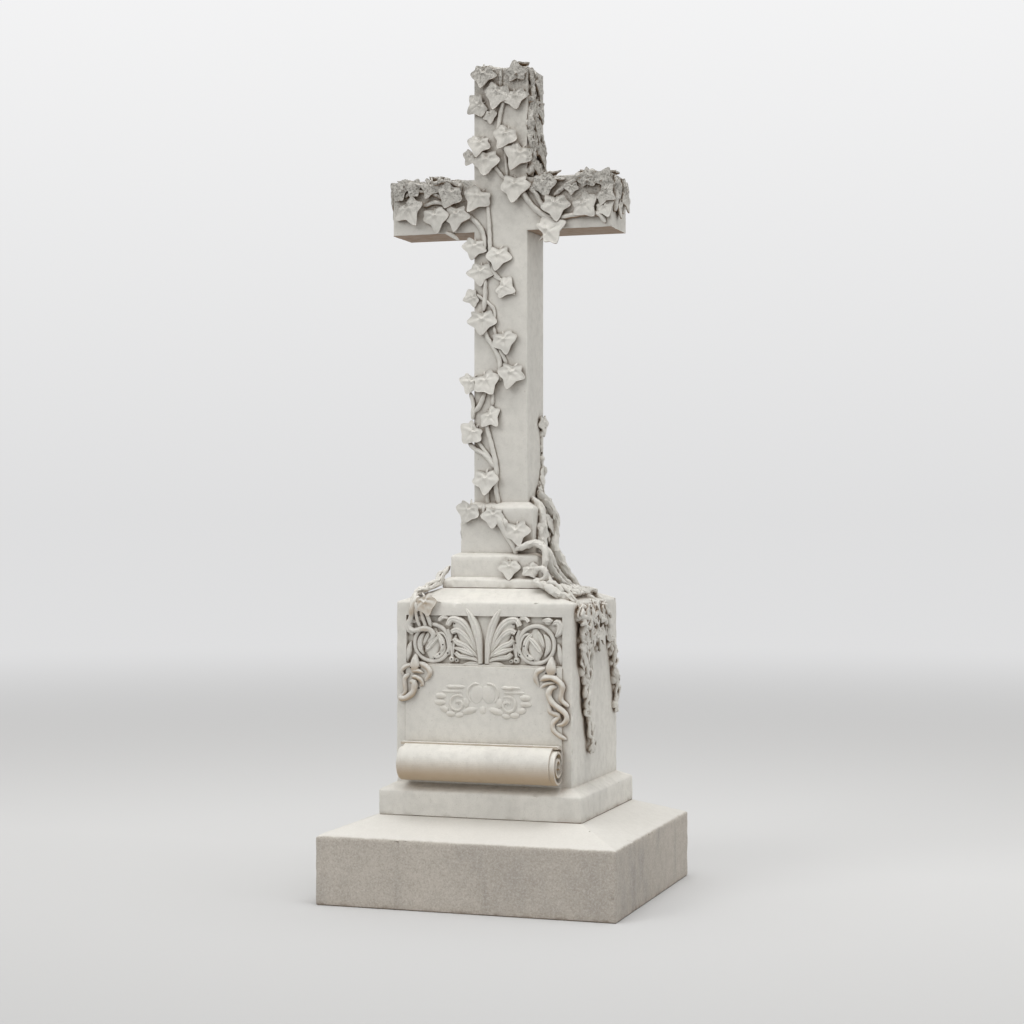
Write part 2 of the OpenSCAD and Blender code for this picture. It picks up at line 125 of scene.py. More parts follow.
# Ivy leaves: across, up, the way the tip points (0 right, 90 up) and size.
# Heights count from the foot of the part of the cross that the group lies on.
HEAD_LEAVES = (
    (-50, 303, -95, 40), (52, 302, 95, 36), (-5, 246, -105, 44), (48, 233, -82, 38),
    (-66, 213, -150, 36), (-30, 184, -80, 24), (20, 124, -112, 42), (-62, 102, -105, 38),
    (-88, 66, -115, 28), (-40, 52, -92, 45), (60, 66, -118, 45),
)
ARM_LEAVES = (
    (48, 131, -92, 46), (-65, 101, -120, 44), (-148, 116, -115, 44), (-132, 51, -95, 44),
    (-198, 51, -78, 43), (-215, 140, -110, 34), (-262, 136, 160, 30), (-306, 132, 150, 36),
    (-280, 74, -60, 46), (135, 134, -80, 40), (172, 71, -85, 45), (218, 118, -92, 22),
    (258, 66, -50, 42), (266, 136, 90, 32), (312, 134, 60, 34), (318, 96, -30, 34), (316, 58, -60, 30),
)
SHAFT_LEAVES = (
    (-76, 743, -100, 36), (-3, 716, -95, 40), (-58, 669, -95, 40), (15, 623, -30, 34),
    (-84, 596, -160, 28), (-52, 529, -90, 42), (15, 469, -75, 40), (38, 373, -100, 42),
    (-38, 351, -60, 42), (-88, 348, -110, 36), (-28, 249, -50, 36), (-84, 203, -130, 40),
    (-42, 66, -85, 44),
)
SOCKET_LEAVES = ((-82, 122, -110, 38), (-8, 108, -95, 36), (66, 62, -80, 42))
STEP_LEAVES = ((50, 30, -90, 34), (112, 24, -60, 26))
# Right-hand faces: front to back, up, tip and size
HEAD_SIDE_LEAVES = (
    (-8, 274, -95, 38), (18, 206, -80, 36), (-14, 150, -100, 38), (14, 92, -85, 38), (-6, 34, -95, 38),
)
SHAFT_SIDE_LEAVES = ((50, 232, -80, 34), (26, 34, -70, 28))
SOCKET_SIDE_LEAVES = ((-46, 62, -100, 38), (22, 92, -80, 38), (36, 40, -95, 34))
ARM_END_LEAVES = ((-26, 118, -100, 36), (30, 92, -80, 36), (-20, 62, -95, 32))
SOCKET_LEFT_LEAVES = ((58, 64, -90, 32),)
# Upper faces: across, back, tip and size
HEAD_TOP_LEAVES = ((-40, -50, 100, 34), (46, -38, 60, 36))
ARM_TOP_LEAVES = (
    (-200, -46, 80, 36), (-150, -30, 60, 28), (-300, -40, 120, 34), (140, -50, 80, 34),
    (262, -44, 90, 36), (312, -30, 40, 34),
)
DIE_SIDE_LEAVES = (
    (-176, 488, -80, 40), (-100, 484, -95, 40), (-24, 490, -70, 38), (56, 486, -60, 38), (-140, 430, -80, 38),
    (-60, 424, -105, 36), (24, 424, -75, 36), (104, 436, -50, 34), (-160, 352, -85, 32), (-122, 262, -90, 28),
)
DIE_FRONT_LEAVES = ((-171, 514, -75, 37),)
# Stems on a face: radius, then the points across and up that each runs through
HEAD_STEMS = (
    (7, (12, 232), (0, 180), (-10, 108)), (6, (0, 262), (2, 318)), (6, (14, 84), (22, 4)),
    (6, (-24, 44), (14, -4)),
)
ARM_STEMS = (
    (8, (-46, -48), (-52, -4), (-74, 30), (-112, 58), (-188, 92), (-238, 84)),
    (7, (-30, -60), (-34, 30), (-40, 90)),
    (7, (-170, 100), (-214, 122), (-268, 128), (-296, 112)),
    (9, (58, 130), (94, 76), (130, 44), (166, 32), (250, 40), (296, 38), (318, 12)),
    (9, (76, 142), (110, 104), (126, 76), (162, 50)),
    (7, (164, 96), (206, 128), (240, 142)), (7, (-168, 4), (-148, -6), (-128, -20)),
)
SHAFT_STEMS = (
    (7, (-38, -14), (-42, 60)), (8, (-2, -12), (-15, 44), (-12, 100), (-26, 164), (-44, 232)),
    (8, (-12, 96), (-46, 136), (-80, 156), (-98, 176)), (6, (-18, 112), (-72, 180)),
    (7, (-84, 240), (-82, 284), (-92, 320)), (8, (-78, 262), (-62, 282), (-46, 320)),
    (6, (-24, 280), (-22, 320)), (8, (2, 352), (-4, 420), (-38, 478), (-58, 520)),
    (6, (20, 400), (-6, 456), (-20, 510)), (6, (-20, 520), (-22, 564), (-74, 606)),
    (8, (-50, 556), (-46, 596), (-46, 650)), (6, (0, 650), (-14, 660), (-38, 700)),
    (6, (44, 600), (8, 640), (-20, 655)),
)
SOCKET_STEMS = (
    (11, (2, 106), (34, 50), (58, 12), (58, -8)), (9, (22, 98), (48, 44), (68, 14)),
    (9, (58, 8), (88, 24), (106, 30)), (7, (-40, 140), (-38, 100)),
)
SLOPE_TANGLES = ((5, 9, 24, (4, -176), (6, -120), (2, -60), (8, 0), (14, 60), (16, 110)),)
# Tangled stems on the right-hand faces: how many, radius, half-width of the tangle, then its route
DIE_SIDE_TANGLES = (
    (5, 9, 26, (-186, 500), (-164, 420), (-152, 340), (-142, 280), (-124, 230), (-98, 180), (-84, 120),
        (-78, 84)),
    (4, 8, 18, (-120, 506), (-96, 440), (-84, 380), (-92, 310), (-104, 250)),
    (3, 8, 16, (-40, 506), (-36, 450), (-10, 404), (16, 372)),
    (4, 8, 19, (50, 506), (84, 450), (128, 400), (158, 350), (178, 290), (192, 230), (200, 176)),
    (4, 8, 22, (-196, 476), (-120, 462), (-40, 474), (40, 466), (120, 440)),
    (3, 8, 18, (-190, 410), (-120, 400), (-60, 424), (10, 420)),
)
HEAD_SIDE_TANGLES = (
    (3, 9, 12, (-66, 4), (-62, 80), (-68, 160), (-58, 230), (-62, 318)),
    (2, 9, 10, (-24, 70), (-34, 150), (-20, 220), (-28, 316)),
    (3, 10, 14, (30, -4), (36, 50), (20, 110), (-10, 170)),
)
SHAFT_SIDE_TANGLES = (
    (1, 6, 1, (46, 214), (50, 150), (54, 96)), (3, 7, 13, (54, 104), (44, 56), (34, 6), (30, -30)),
)
# Growth along the top edges of the arms, seen from the front: across and up
ARM_EDGE_TANGLES = (
    (2, 8, 9, (-306, 140), (-262, 146), (-216, 142)), (2, 8, 10, (-204, 148), (-160, 150), (-118, 138)),
    (3, 8, 10, (232, 142), (268, 150), (312, 138)), (2, 7, 8, (112, 146), (150, 148), (196, 140)),
)
ARM_END_STEMS = (
    (11, (-62, 150), (-54, 100), (-62, 46)), (12, (22, 152), (32, 100), (20, 50)), (10, (62, 146), (52, 84)),
)
# Vine trunks and roots that run down over the socket, the steps and the weathered top: radius,
# then points in space, as offsets from the near right corner of the lower step's foot
CORNER_ROOTS = (
    (14, (-61, 153, 275), (-35, 178, 235), (-25, 198, 195), (-25, 193, 155), (-18, 173, 115), (-3, 188, 70),
        (12, 213, 35), (37, 263, -12), (80, 290, -26)),
    (12, (-65, 108, 260), (-41, 103, 230), (-31, 93, 190), (-35, 81, 150), (-25, 78, 118), (-3, 75, 95),
        (2, 93, 60), (12, 153, 25), (37, 213, -8), (72, 243, -22), (108, 250, -42)),
    (10, (-91, 31, 110), (-63, 25, 122), (-33, 23, 130), (-13, 28, 126), (-3, 43, 106), (-1, 58, 78),
        (7, 73, 50), (32, 113, 10), (72, 173, -20), (110, 190, -46)),
    (9, (-33, 28, 128), (-3, 18, 115), (4, 13, 80), (0, 11, 60), (12, 13, 30), (37, 3, 0), (76, -10, -20),
        (104, -20, -40)),
    (10, (-23, -12, 25), (-3, -22, 15), (32, -12, 2), (62, -7, -14), (96, -14, -32), (112, -20, -60)),
    (13, (12, -17, 12), (37, -42, 0), (62, -42, -14), (92, -22, -30), (109, -12, -50), (116, -8, -90)),
)
# Loops of root knotted over the same corner
CORNER_LOOPS = (
    (8, (-22, -2, 38), (-16, -8, 54), (0, -10, 60), (12, -10, 50), (10, -12, 32), (-6, -12, 24),
        (-20, -6, 30)),
    (8, (18, -22, 10), (30, -32, 20), (52, -38, 14), (68, -40, 0), (58, -42, -10), (36, -40, -6),
        (20, -30, 2)),
    (7, (50, -30, 8), (66, -30, 10), (84, -28, -6), (98, -26, -22), (106, -20, -42)),
)
# Vines down over the near left of the weathered top, from the near left corner of the same step
LEFT_VINE = (
    (6, (-2, 20, 46), (-14, 2, 38), (-8, -10, 22), (-22, -16, 16), (-34, -30, 10), (-30, -44, -2),
        (-46, -56, -2), (-58, -64, -12)),
    (8, (3, 33, 55), (-3, 13, 37), (-5, 0, 18), (-20, -20, 5), (-36, -34, -4), (-50, -50, -10),
        (-60, -68, -22), (-62, -82, -42), (-62, -86, -72)),
    (7, (8, 40, 62), (4, 22, 48), (-8, 2, 26), (-24, -12, 10), (-44, -28, 0), (-56, -48, -4),
        (-56, -72, -22), (-48, -84, -44), (-44, -86, -66)),
)


# ---- faces of the stone ---------------------------------------------------------------------

Face = namedtuple("Face", "origin across up out")
X, Y, Z = Vector((1, 0, 0)), Vector((0, 1, 0)), Vector((0, 0, 1))


def front_face(depth, z=0.0):
    return Face(Vector((0, -depth / 2, z)), X, Z, -Y)


def right_face(width, z=0.0):
    return Face(Vector((width / 2, 0, z)), Y, Z, X)


def left_face(width, z=0.0):
    return Face(Vector((-width / 2, 0, z)), -Y, Z, -X)


def top_face(z):
    return Face(Vector((0, 0, z)), X, Y, Z)


def right_slope(inner_w, outer_w, z_top, drop):
    """The weathered top's right-hand slope, its origin half way down."""
    run = (outer_w - inner_w) / 2
    down = Vector((run, 0, -drop)).normalized()
    return Face(Vector(((inner_w + outer_w) / 4, 0, z_top - drop / 2)), down, Y, down.cross(Y))


def on_face(face, p):
    return face.origin + face.across * p[0] + face.up * p[1] + face.out * p[2]


# ---- closed solids as (points, faces) --------------------------------------------------------


def circle_point(radius, degrees):
    a = math.radians(degrees)
    return radius * math.cos(a), radius * math.sin(a)


def loft(rings):
    """Closed skin through rings of equal count, capped flat at both ends."""
    n = len(rings[0])
    points = [p for ring in rings for p in ring]
    faces = []
    for i in range(len(rings) - 1):
        low, high = i * n, (i + 1) * n
        for k in range(n):
            j = (k + 1) % n
            faces.append((low + k, low + j, high + j, high + k))
    faces.append(tuple(reversed(range(n))))
    faces.append(tuple(range(len(points) - n, len(points))))
    return points, faces


def worn(p, amount):
    """A point of an arris moved by small irregular wear, with a chip here and there."""
    drift = noise.noise_vector(p / 22.0) * 0.28 * amount
    chip = max(0.0, noise.noise(p / 13.0 + Vector((31, 7, 5))) - 0.42) * 5.0 * amount
    inward = Vector((-p.x, -p.y, 0)).normalized()
    return p + drift + inward * chip


def spaced(start, end, step):
    """Values from start to end about a step apart, both ends left out."""
    count = max(1, round(abs(end - start) / step))
    return [start + (end - start) * k / count for k in range(1, count)]


def rounded_outline(half_x, half_y, radius, counts, corner_steps=4):
    """Points round a rectangle with rounded corners and whether each is on a corner."""
    outline = []
    for quarter, (sx, sy) in enumerate(((1, 1), (-1, 1), (-1, -1), (1, -1))):
        arc = []
        for k in range(corner_steps + 1):
            u, v = circle_point(radius, 90 * (quarter + k / corner_steps))
            arc.append((sx * (half_x - radius) + u, sy * (half_y - radius) + v))
        outline += [(x, y, 1.0) for x, y in arc]
        count = counts[quarter % 2]
        x0, y0 = arc[-1]
        x1, y1 = (-x0, y0) if quarter % 2 == 0 else (x0, -y0)
        outline += [(x0 + (x1 - x0) * k / count, y0 + (y1 - y0) * k / count, 0.0) for k in range(1, count)]
    return outline


def block(levels, radius, step, wear):
    """Upright block through levels (z, width, depth, worn edge or not), with worn arrises."""
    width = max(level[1] for level in levels)
    depth = max(level[2] for level in levels)
    counts = (round(width / step), round(depth / step))
    rings = []
    for i, (z, w, d, edge) in enumerate(levels):
        ring = []
        for x, y, corner in rounded_outline(w / 2, d / 2, radius, counts):
            p = Vector((x, y, z))
            if wear and (edge or corner):
                p = worn(p, wear)
            if i in (0, len(levels) - 1):
                p.z = z
            ring.append(p)
        rings.append(ring)
    return loft(rings)


def shouldered(z, w, d, h, rise, top_w, top_d, wear, step):
    """Levels of a block with upright sides, a worn shoulder and a sloped top."""
    levels = [(z, w - wear, d - wear, True), (z + 0.6 * wear, w, d, False)]
    levels += [(level, w, d, False) for level in spaced(z + 0.6 * wear, z + h - wear, step)]
    levels += [(z + h - wear, w, d, True), (z + h - 0.3 * wear, w - 0.6 * wear, d - 0.6 * wear, True)]
    share = 2.2 * wear / max(w - top_w, 1.0)
    levels.append((z + h + share * rise, w - 2.2 * wear, d - share * (d - top_d), True))
    for t in spaced(share, 1.0, step / max((w - top_w) / 2, 1.0)):
        levels.append((z + h + t * rise, w + (top_w - w) * t, d + (top_d - d) * t, False))
    levels.append((z + h + rise, top_w, top_d, False))
    return levels


def plus_outline(shaft_w, span, z_foot, z_arm, z_head, z_top, step):
    """Front outline of the cross: points, the way inwards at each, and whether it's a corner."""
    a, b = shaft_w / 2, span / 2
    corners = [(a, z_foot), (a, z_arm), (b, z_arm), (b, z_head), (a, z_head), (a, z_top)]
    corners += [(-x, z) for x, z in reversed(corners)]
    outline = []
    for i, (x, z) in enumerate(corners):
        x1, z1 = corners[(i + 1) % len(corners)]
        x0, z0 = corners[i - 1]
        before = Vector((x - x0, z - z0)).normalized()
        after = Vector((x1 - x, z1 - z)).normalized()
        normal_before, normal_after = Vector((-before.y, before.x)), Vector((-after.y, after.x))
        outline.append((Vector((x, z)), normal_before + normal_after, True))
        count = max(1, round((Vector((x1, z1)) - Vector((x, z))).length / step))
        for k in range(1, count):
            p = Vector((x + (x1 - x) * k / count, z + (z1 - z) * k / count))
            outline.append((p, normal_after, False))
    return outline


def cross_body(outline, thickness, wear, step):
    """The plus-shaped slab of shaft, arms and head, with worn long arrises."""
    half = thickness / 2
    depths = [(-half, wear, True), (-half + 0.3 * wear, 0.3 * wear, True), (-half + wear, 0.0, False)]
    depths += [(y, 0.0, False) for y in spaced(-half + wear, half - wear, step)]
    depths += [(half - wear, 0.0, False), (half - 0.3 * wear, 0.3 * wear, True), (half, wear, True)]
    rings = []
    for y, inset, edge in depths:
        ring = []
        for p, inward, corner in outline:
            q = p + inward * inset
            point = Vector((q.x, y, q.y))
            if edge or corner:
                drift = noise.noise_vector(point / 22.0) * 0.25 * wear
                point += Vector((drift.x, 0, drift.z))
            ring.append(point)
        rings.append(ring)
    return loft(rings)


def smooth_path(points, step):
    """Points about a step apart on a smooth curve through the given points."""
    ends = [2 * points[0] - points[1]] + list(points) + [2 * points[-1] - points[-2]]
    path = []
    for i in range(1, len(ends) - 2):
        p0, p1, p2, p3 = ends[i - 1:i + 3]
        count = max(2, round((p2 - p1).length / step))
        for k in range(count):
            t = k / count
            path.append(
                0.5 * (2 * p1 + (p2 - p0) * t + (2 * p0 - 5 * p1 + 4 * p2 - p3) * t * t
                       + (3 * p1 - p0 - 3 * p2 + p3) * t ** 3)
            )
    path.append(points[-1].copy())
    return path


def stem(points, r_start, r_end, rng, sides=10, gnarl=0.0):
    """Round woody stem through points, uneven in thickness and rounded at its ends."""
    path = smooth_path(points, max(0.95 * r_start, 6.5))
    last = len(path) - 1
    phase = rng.uniform(0, 6.28)
    rings = []
    side = None
    for i, p in enumerate(path):
        along = (path[min(i + 1, last)] - path[max(i - 1, 0)]).normalized()
        if side is None:
            side = along.orthogonal().normalized()
        side = (side - along * side.dot(along)).normalized()
        other = along.cross(side)
        radius = (r_start + (r_end - r_start) * i / last) * (1 + 0.07 * math.sin(1.7 * i + phase))
        if i in (0, last):
            radius *= 0.45
        elif i in (1, last - 1):
            radius *= 0.85
        ring = []
        for k in range(sides):
            a = 2 * math.pi * k / sides
            r = radius * (1 + 0.05 * math.sin(3 * a + 0.15 * i + phase))
            q = p + side * r * math.cos(a) + other * r * math.sin(a)
            ring.append(q + noise.noise_vector(q / 15.0) * gnarl * radius)
        rings.append(ring)
    return loft(rings)


# Half of an ivy leaf's outline from its tip round to its stalk: lobes and the hollows between
# them, as the angle from the tip and the distance from the middle as a share of the leaf's size
LEAF_OUTLINE = ((0, 1.08), (40, 0.64), (84, 0.99), (113, 0.70), (137, 0.79), (180, 0.40))
LEAF_STALK = Vector((-0.26, 0))
LEAF_RINGS = (0.14, 0.3, 0.44, 0.57, 0.69, 0.8, 0.9, 0.96)
LEAF_STEPS = 4


def leaf_corners(rng, unevenness):
    """The outline's lobe tips and hollows all the way round, each a little out of true."""
    half = LEAF_OUTLINE + tuple((360 - a, r) for a, r in reversed(LEAF_OUTLINE[1:-1]))
    corners = []
    for angle, reach in half:
        a = math.radians(angle + rng.uniform(-6, 6) * unevenness)
        r = reach * (1 + rng.uniform(-0.09, 0.09) * unevenness)
        corners.append(Vector((r * math.cos(a), r * math.sin(a))))
    return corners


def leaf_rim(corners):
    """Points round the leaf: bulging sides between softened tips and hollows."""
    rim = []
    for p, q in zip(corners, corners[1:] + corners[:1]):
        for k in range(LEAF_STEPS):
            t = k / LEAF_STEPS
            rim.append(p.lerp(q, t) * (1 + 0.09 * math.sin(math.pi * t)))
    soft = []
    for i, p in enumerate(rim):
        soft.append(p * 0.64 + (rim[i - 1] + rim[(i + 1) % len(rim)]) * 0.18)
    return soft


class LeafForm:
    """How one leaf rises and falls, as a share of its size."""

    def __init__(self, corners, rng, unevenness, relief):
        self.relief = relief
        self.veins = [(corner, rng.uniform(-0.34, 0.24) * unevenness) for corner in corners[::2]]
        self.lean = Vector((rng.uniform(0.06, 0.24), rng.uniform(-0.13, 0.13) * unevenness))
        self.seed = Vector((rng.uniform(0, 50), rng.uniform(0, 50), 0))

    def height(self, p, s):
        h = 0.25 + 0.07 * (1 - s * s) - 0.07 * math.exp(-(p - LEAF_STALK).length_squared / 0.03)
        for tip, curl in self.veins:
            axis = tip - LEAF_STALK
            t = min(1.0, max(0.0, (p - LEAF_STALK).dot(axis) / axis.length_squared))
            off = (p - LEAF_STALK - axis * t).length
            h -= 0.035 * math.exp(-((off / 0.06) ** 2)) * (1 - 0.7 * t) * min(1.0, 4 * t)
            h += 0.035 * math.exp(-(((off - 0.17) / 0.1) ** 2)) * (1 - s)
            h += curl * max(0.0, t - 0.35) ** 2 * math.exp(-((off / 0.34) ** 2))
        h += 0.30 * max(0.0, -p.x - 0.12) * s + self.lean.dot(p)
        h += 0.035 * noise.noise(Vector((p.x, p.y, 0)) * 3.2 + self.seed)
        return self.relief * h


def ivy_leaf(size, rng, relief, unevenness):
    """Five-lobed leaf with sunk veins, curling lobes and an undercut rim, its tip along +X."""
    corners = leaf_corners(rng, unevenness)
    form = LeafForm(corners, rng, unevenness, relief)
    rim = leaf_rim(corners)

    def ring(s, drop=0.0, flat=None):
        points = []
        for p in rim:
            h = form.height(p * s, s) - drop if flat is None else flat
            points.append(Vector((size * s * p.x, size * s * p.y, size * h)))
        return points

    rings = [ring(0.46, flat=-0.18), ring(0.52, flat=-0.02), ring(0.74, drop=0.19), ring(0.96, drop=0.13)]
    rings += [ring(1.0, drop=0.075), ring(1.0), ring(0.985, drop=-0.012)]
    rings += [ring(s) for s in reversed(LEAF_RINGS)]
    points, faces = loft(rings)
    # The middle is a point, so that the crown isn't flat.
    top = faces.pop()
    middle = sum((points[k] for k in top), Vector()) / len(top)
    points.append(middle)
    for k, corner in enumerate(top):
        faces.append((corner, top[(k + 1) % len(top)], len(points) - 1))
    return points, faces


# Cross-section of a carved strip: across, then height, with a groove down the middle
STRIP = (
    (-1, 0), (-0.9, 0.42), (-0.66, 0.8), (-0.32, 0.98), (0, 0.86),
    (0.32, 0.98), (0.66, 0.8), (0.9, 0.42), (1, 0),
)


def blade(path, widths, crest, sink):
    """Carved strip or pointed leaf along a path of (across, up, out)."""
    spine = smooth_path([Vector(p) for p in path], 5.0)
    last = len(spine) - 1
    rings = []
    for i, p in enumerate(spine):
        t = i / last
        along = spine[min(i + 1, last)] - spine[max(i - 1, 0)]
        along.z = 0
        along.normalize()
        side = Vector((-along.y, along.x, 0))
        place = t * (len(widths) - 1)
        k = min(int(place), len(widths) - 2)
        half = widths[k] + (widths[k + 1] - widths[k]) * (place - k)
        high = crest * min(1.0, half / (0.55 * max(widths)))
        ring = [p + side * half * x + Vector((0, 0, high * z)) for x, z in STRIP]
        ring.append(p + side * half * 0.9 - Vector((0, 0, sink)))
        ring.append(p - side * half * 0.9 - Vector((0, 0, sink)))
        rings.append(list(reversed(ring)))
    return loft(rings)


def hoop(x, y, radius, thick, out):
    """Closed ring of round section lying on a face."""
    turns, sides = 56, 12
    points, faces = [], []
    for i in range(turns):
        a = 2 * math.pi * i / turns
        for k in range(sides):
            b = 2 * math.pi * k / sides
            r = radius + thick * math.cos(b)
            points.append(Vector((x + r * math.cos(a), y + r * math.sin(a), out + thick * math.sin(b))))
    for i in range(turns):
        j = (i + 1) % turns
        for k in range(sides):
            n = (k + 1) % sides
            faces.append((i * sides + k, j * sides + k, j * sides + n, i * sides + n))
    return points, faces


def bead(x, y, rx, ry, high, sink, turn=0.0, rows=5, sides=20):
    """Low domed oval on a face."""
    c, s = circle_point(1, turn)
    heights = [(1.0, -sink), (1.0, 0.0)]
    for k in range(1, rows):
        inward, rise = circle_point(1, 90 * k / rows)
        heights.append((inward, high * rise))
    heights.append((0.08, high))
    rings = []
    for scale, z in heights:
        ring = []
        for k in range(sides):
            a = 2 * math.pi * k / sides
            u, v = rx * scale * math.cos(a), ry * scale * math.sin(a)
            ring.append(Vector((x + u * c - v * s, y + u * s + v * c, z)))
        rings.append(ring)
    return loft(rings)


def laid_on(face, solid, turn=0.0, at=(0.0, 0.0, 0.0)):
    """A solid turned by degrees in a face's plane and set down at a place on it."""
    points, faces = solid
    c, s = circle_point(1, turn)
    moved = []
    for p in points:
        place = (at[0] + p.x * c - p.y * s, at[1] + p.x * s + p.y * c, at[2] + p.z)
        moved.append(on_face(face, place))
    return moved, faces


# ---- joining solids into one stone ------------------------------------------------------------


def signed_volume(points, faces):
    """Positive when the faces look outwards."""
    total = 0.0
    for face in faces:
        first = points[face[0]]
        for k in range(1, len(face) - 1):
            total += first.dot(points[face[k]].cross(points[face[k + 1]]))
    return total / 6


def mesh_object(name, solid):
    """Object in metres from a solid in millimetres, its faces looking outwards."""
    points, faces = solid
    if signed_volume(points, faces) < 0:
        faces = [tuple(reversed(face)) for face in faces]
    mesh = bpy.data.meshes.new(name)
    mesh.from_pydata([p * MM for p in points], [], faces)
    work = bmesh.new()
    work.from_mesh(mesh)
    bmesh.ops.triangulate(work, faces=[f for f in work.faces if len(f.verts) > 3])
    work.to_mesh(mesh)
    work.free()
    return bpy.data.objects.new(name, mesh)


def combined(a, b, operation):
    """Replaces a's mesh by the union or difference with b, and removes b."""
    collection = bpy.context.scene.collection
    collection.objects.link(a)
    collection.objects.link(b)
    modifier = a.modifiers.new("join", "BOOLEAN")
    modifier.operation = operation
    modifier.solver = "MANIFOLD"
    modifier.object = b
    mesh = bpy.data.meshes.new_from_object(a.evaluated_get(bpy.context.evaluated_depsgraph_get()))
    a.modifiers.clear()
    collection.objects.unlink(a)
    if not mesh.polygons:
        raise RuntimeError(f"joining {b.name} to {a.name} left nothing")
    old_a, old_b = a.data, b.data
    a.data = mesh
    bpy.data.objects.remove(b)
    bpy.data.meshes.remove(old_a)
    bpy.data.meshes.remove(old_b)
    return a


def union(objects):
    """One watertight object from many closed ones, joined pair by pair."""
    while len(objects) > 1:
        paired = [combined(a, b, "UNION") for a, b in zip(objects[::2], objects[1::2])]
        if len(objects) % 2:
            paired.append(objects[-1])
        objects = paired
    return objects[0]


# Faces larger than BROAD_FACE, in square metres, are flat stone and shaded flat, and so is whatever
# lies in one plane with them, where a face smaller than SLIVER may be a little out of true. Edges
# bent more than CREASE are sharp, or SHALLOW where flat stone starts.
BROAD_FACE = 0.0003
SLIVER = 3e-6
CREASE = math.radians(36)
SHALLOW = math.radians(5)


def flat_faces(work):
    """The broad faces of a mesh and all the faces that continue them in the same plane."""
    flat = {face for face in work.faces if face.calc_area() >= BROAD_FACE}
    queue = list(flat)
    while queue:
        face = queue.pop()
        for edge in face.edges:
            for other in edge.link_faces:
                limit = 0.004 if other.calc_area() > SLIVER else 0.08
                if other not in flat and face.normal.angle(other.normal, 0.0) < limit:
                    flat.add(other)
                    queue.append(other)
    return flat


def remove_twins(work):
    """Takes out pairs of faces that lie back to back on the same corners."""
    same_corners = {}
    for face in work.faces:
        same_corners.setdefault(frozenset(vert.index for vert in face.verts), []).append(face)
    twins = [face for faces in same_corners.values() if len(faces) > 1 for face in faces]
    bmesh.ops.delete(work, geom=twins, context="FACES")


def finished(stone, name, node, material):
    """Names, shades and registers a stone that stands for its CAD node."""
    stone.name = name
    stone.data.name = name
    bpy.context.scene.collection.objects.link(stone)
    mesh = stone.data
    work = bmesh.new()
    work.from_mesh(mesh)
    bmesh.ops.triangulate(work, faces=[face for face in flat_faces(work) if len(face.verts) > 4])
    remove_twins(work)
    work.normal_update()
    flat = flat_faces(work)
    for face in work.faces:
        face.smooth = face not in flat
    for edge in work.edges:
        bend = edge.calc_face_angle(math.pi)
        crossing = sum(face in flat for face in edge.link_faces) == 1
        edge.smooth = bend < (SHALLOW if crossing else CREASE)
    open_edges = sum(not edge.is_manifold for edge in work.edges)
    if open_edges:
        print(f"{name}: {open_edges} open edges")
    work.to_mesh(mesh)
    work.free()
    mesh.materials.clear()
    mesh.materials.append(material)
    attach(stone, "root")
    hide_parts(node)
    print(name, "triangles", sum(len(p.vertices) - 2 for p in mesh.polygons))
    return stone


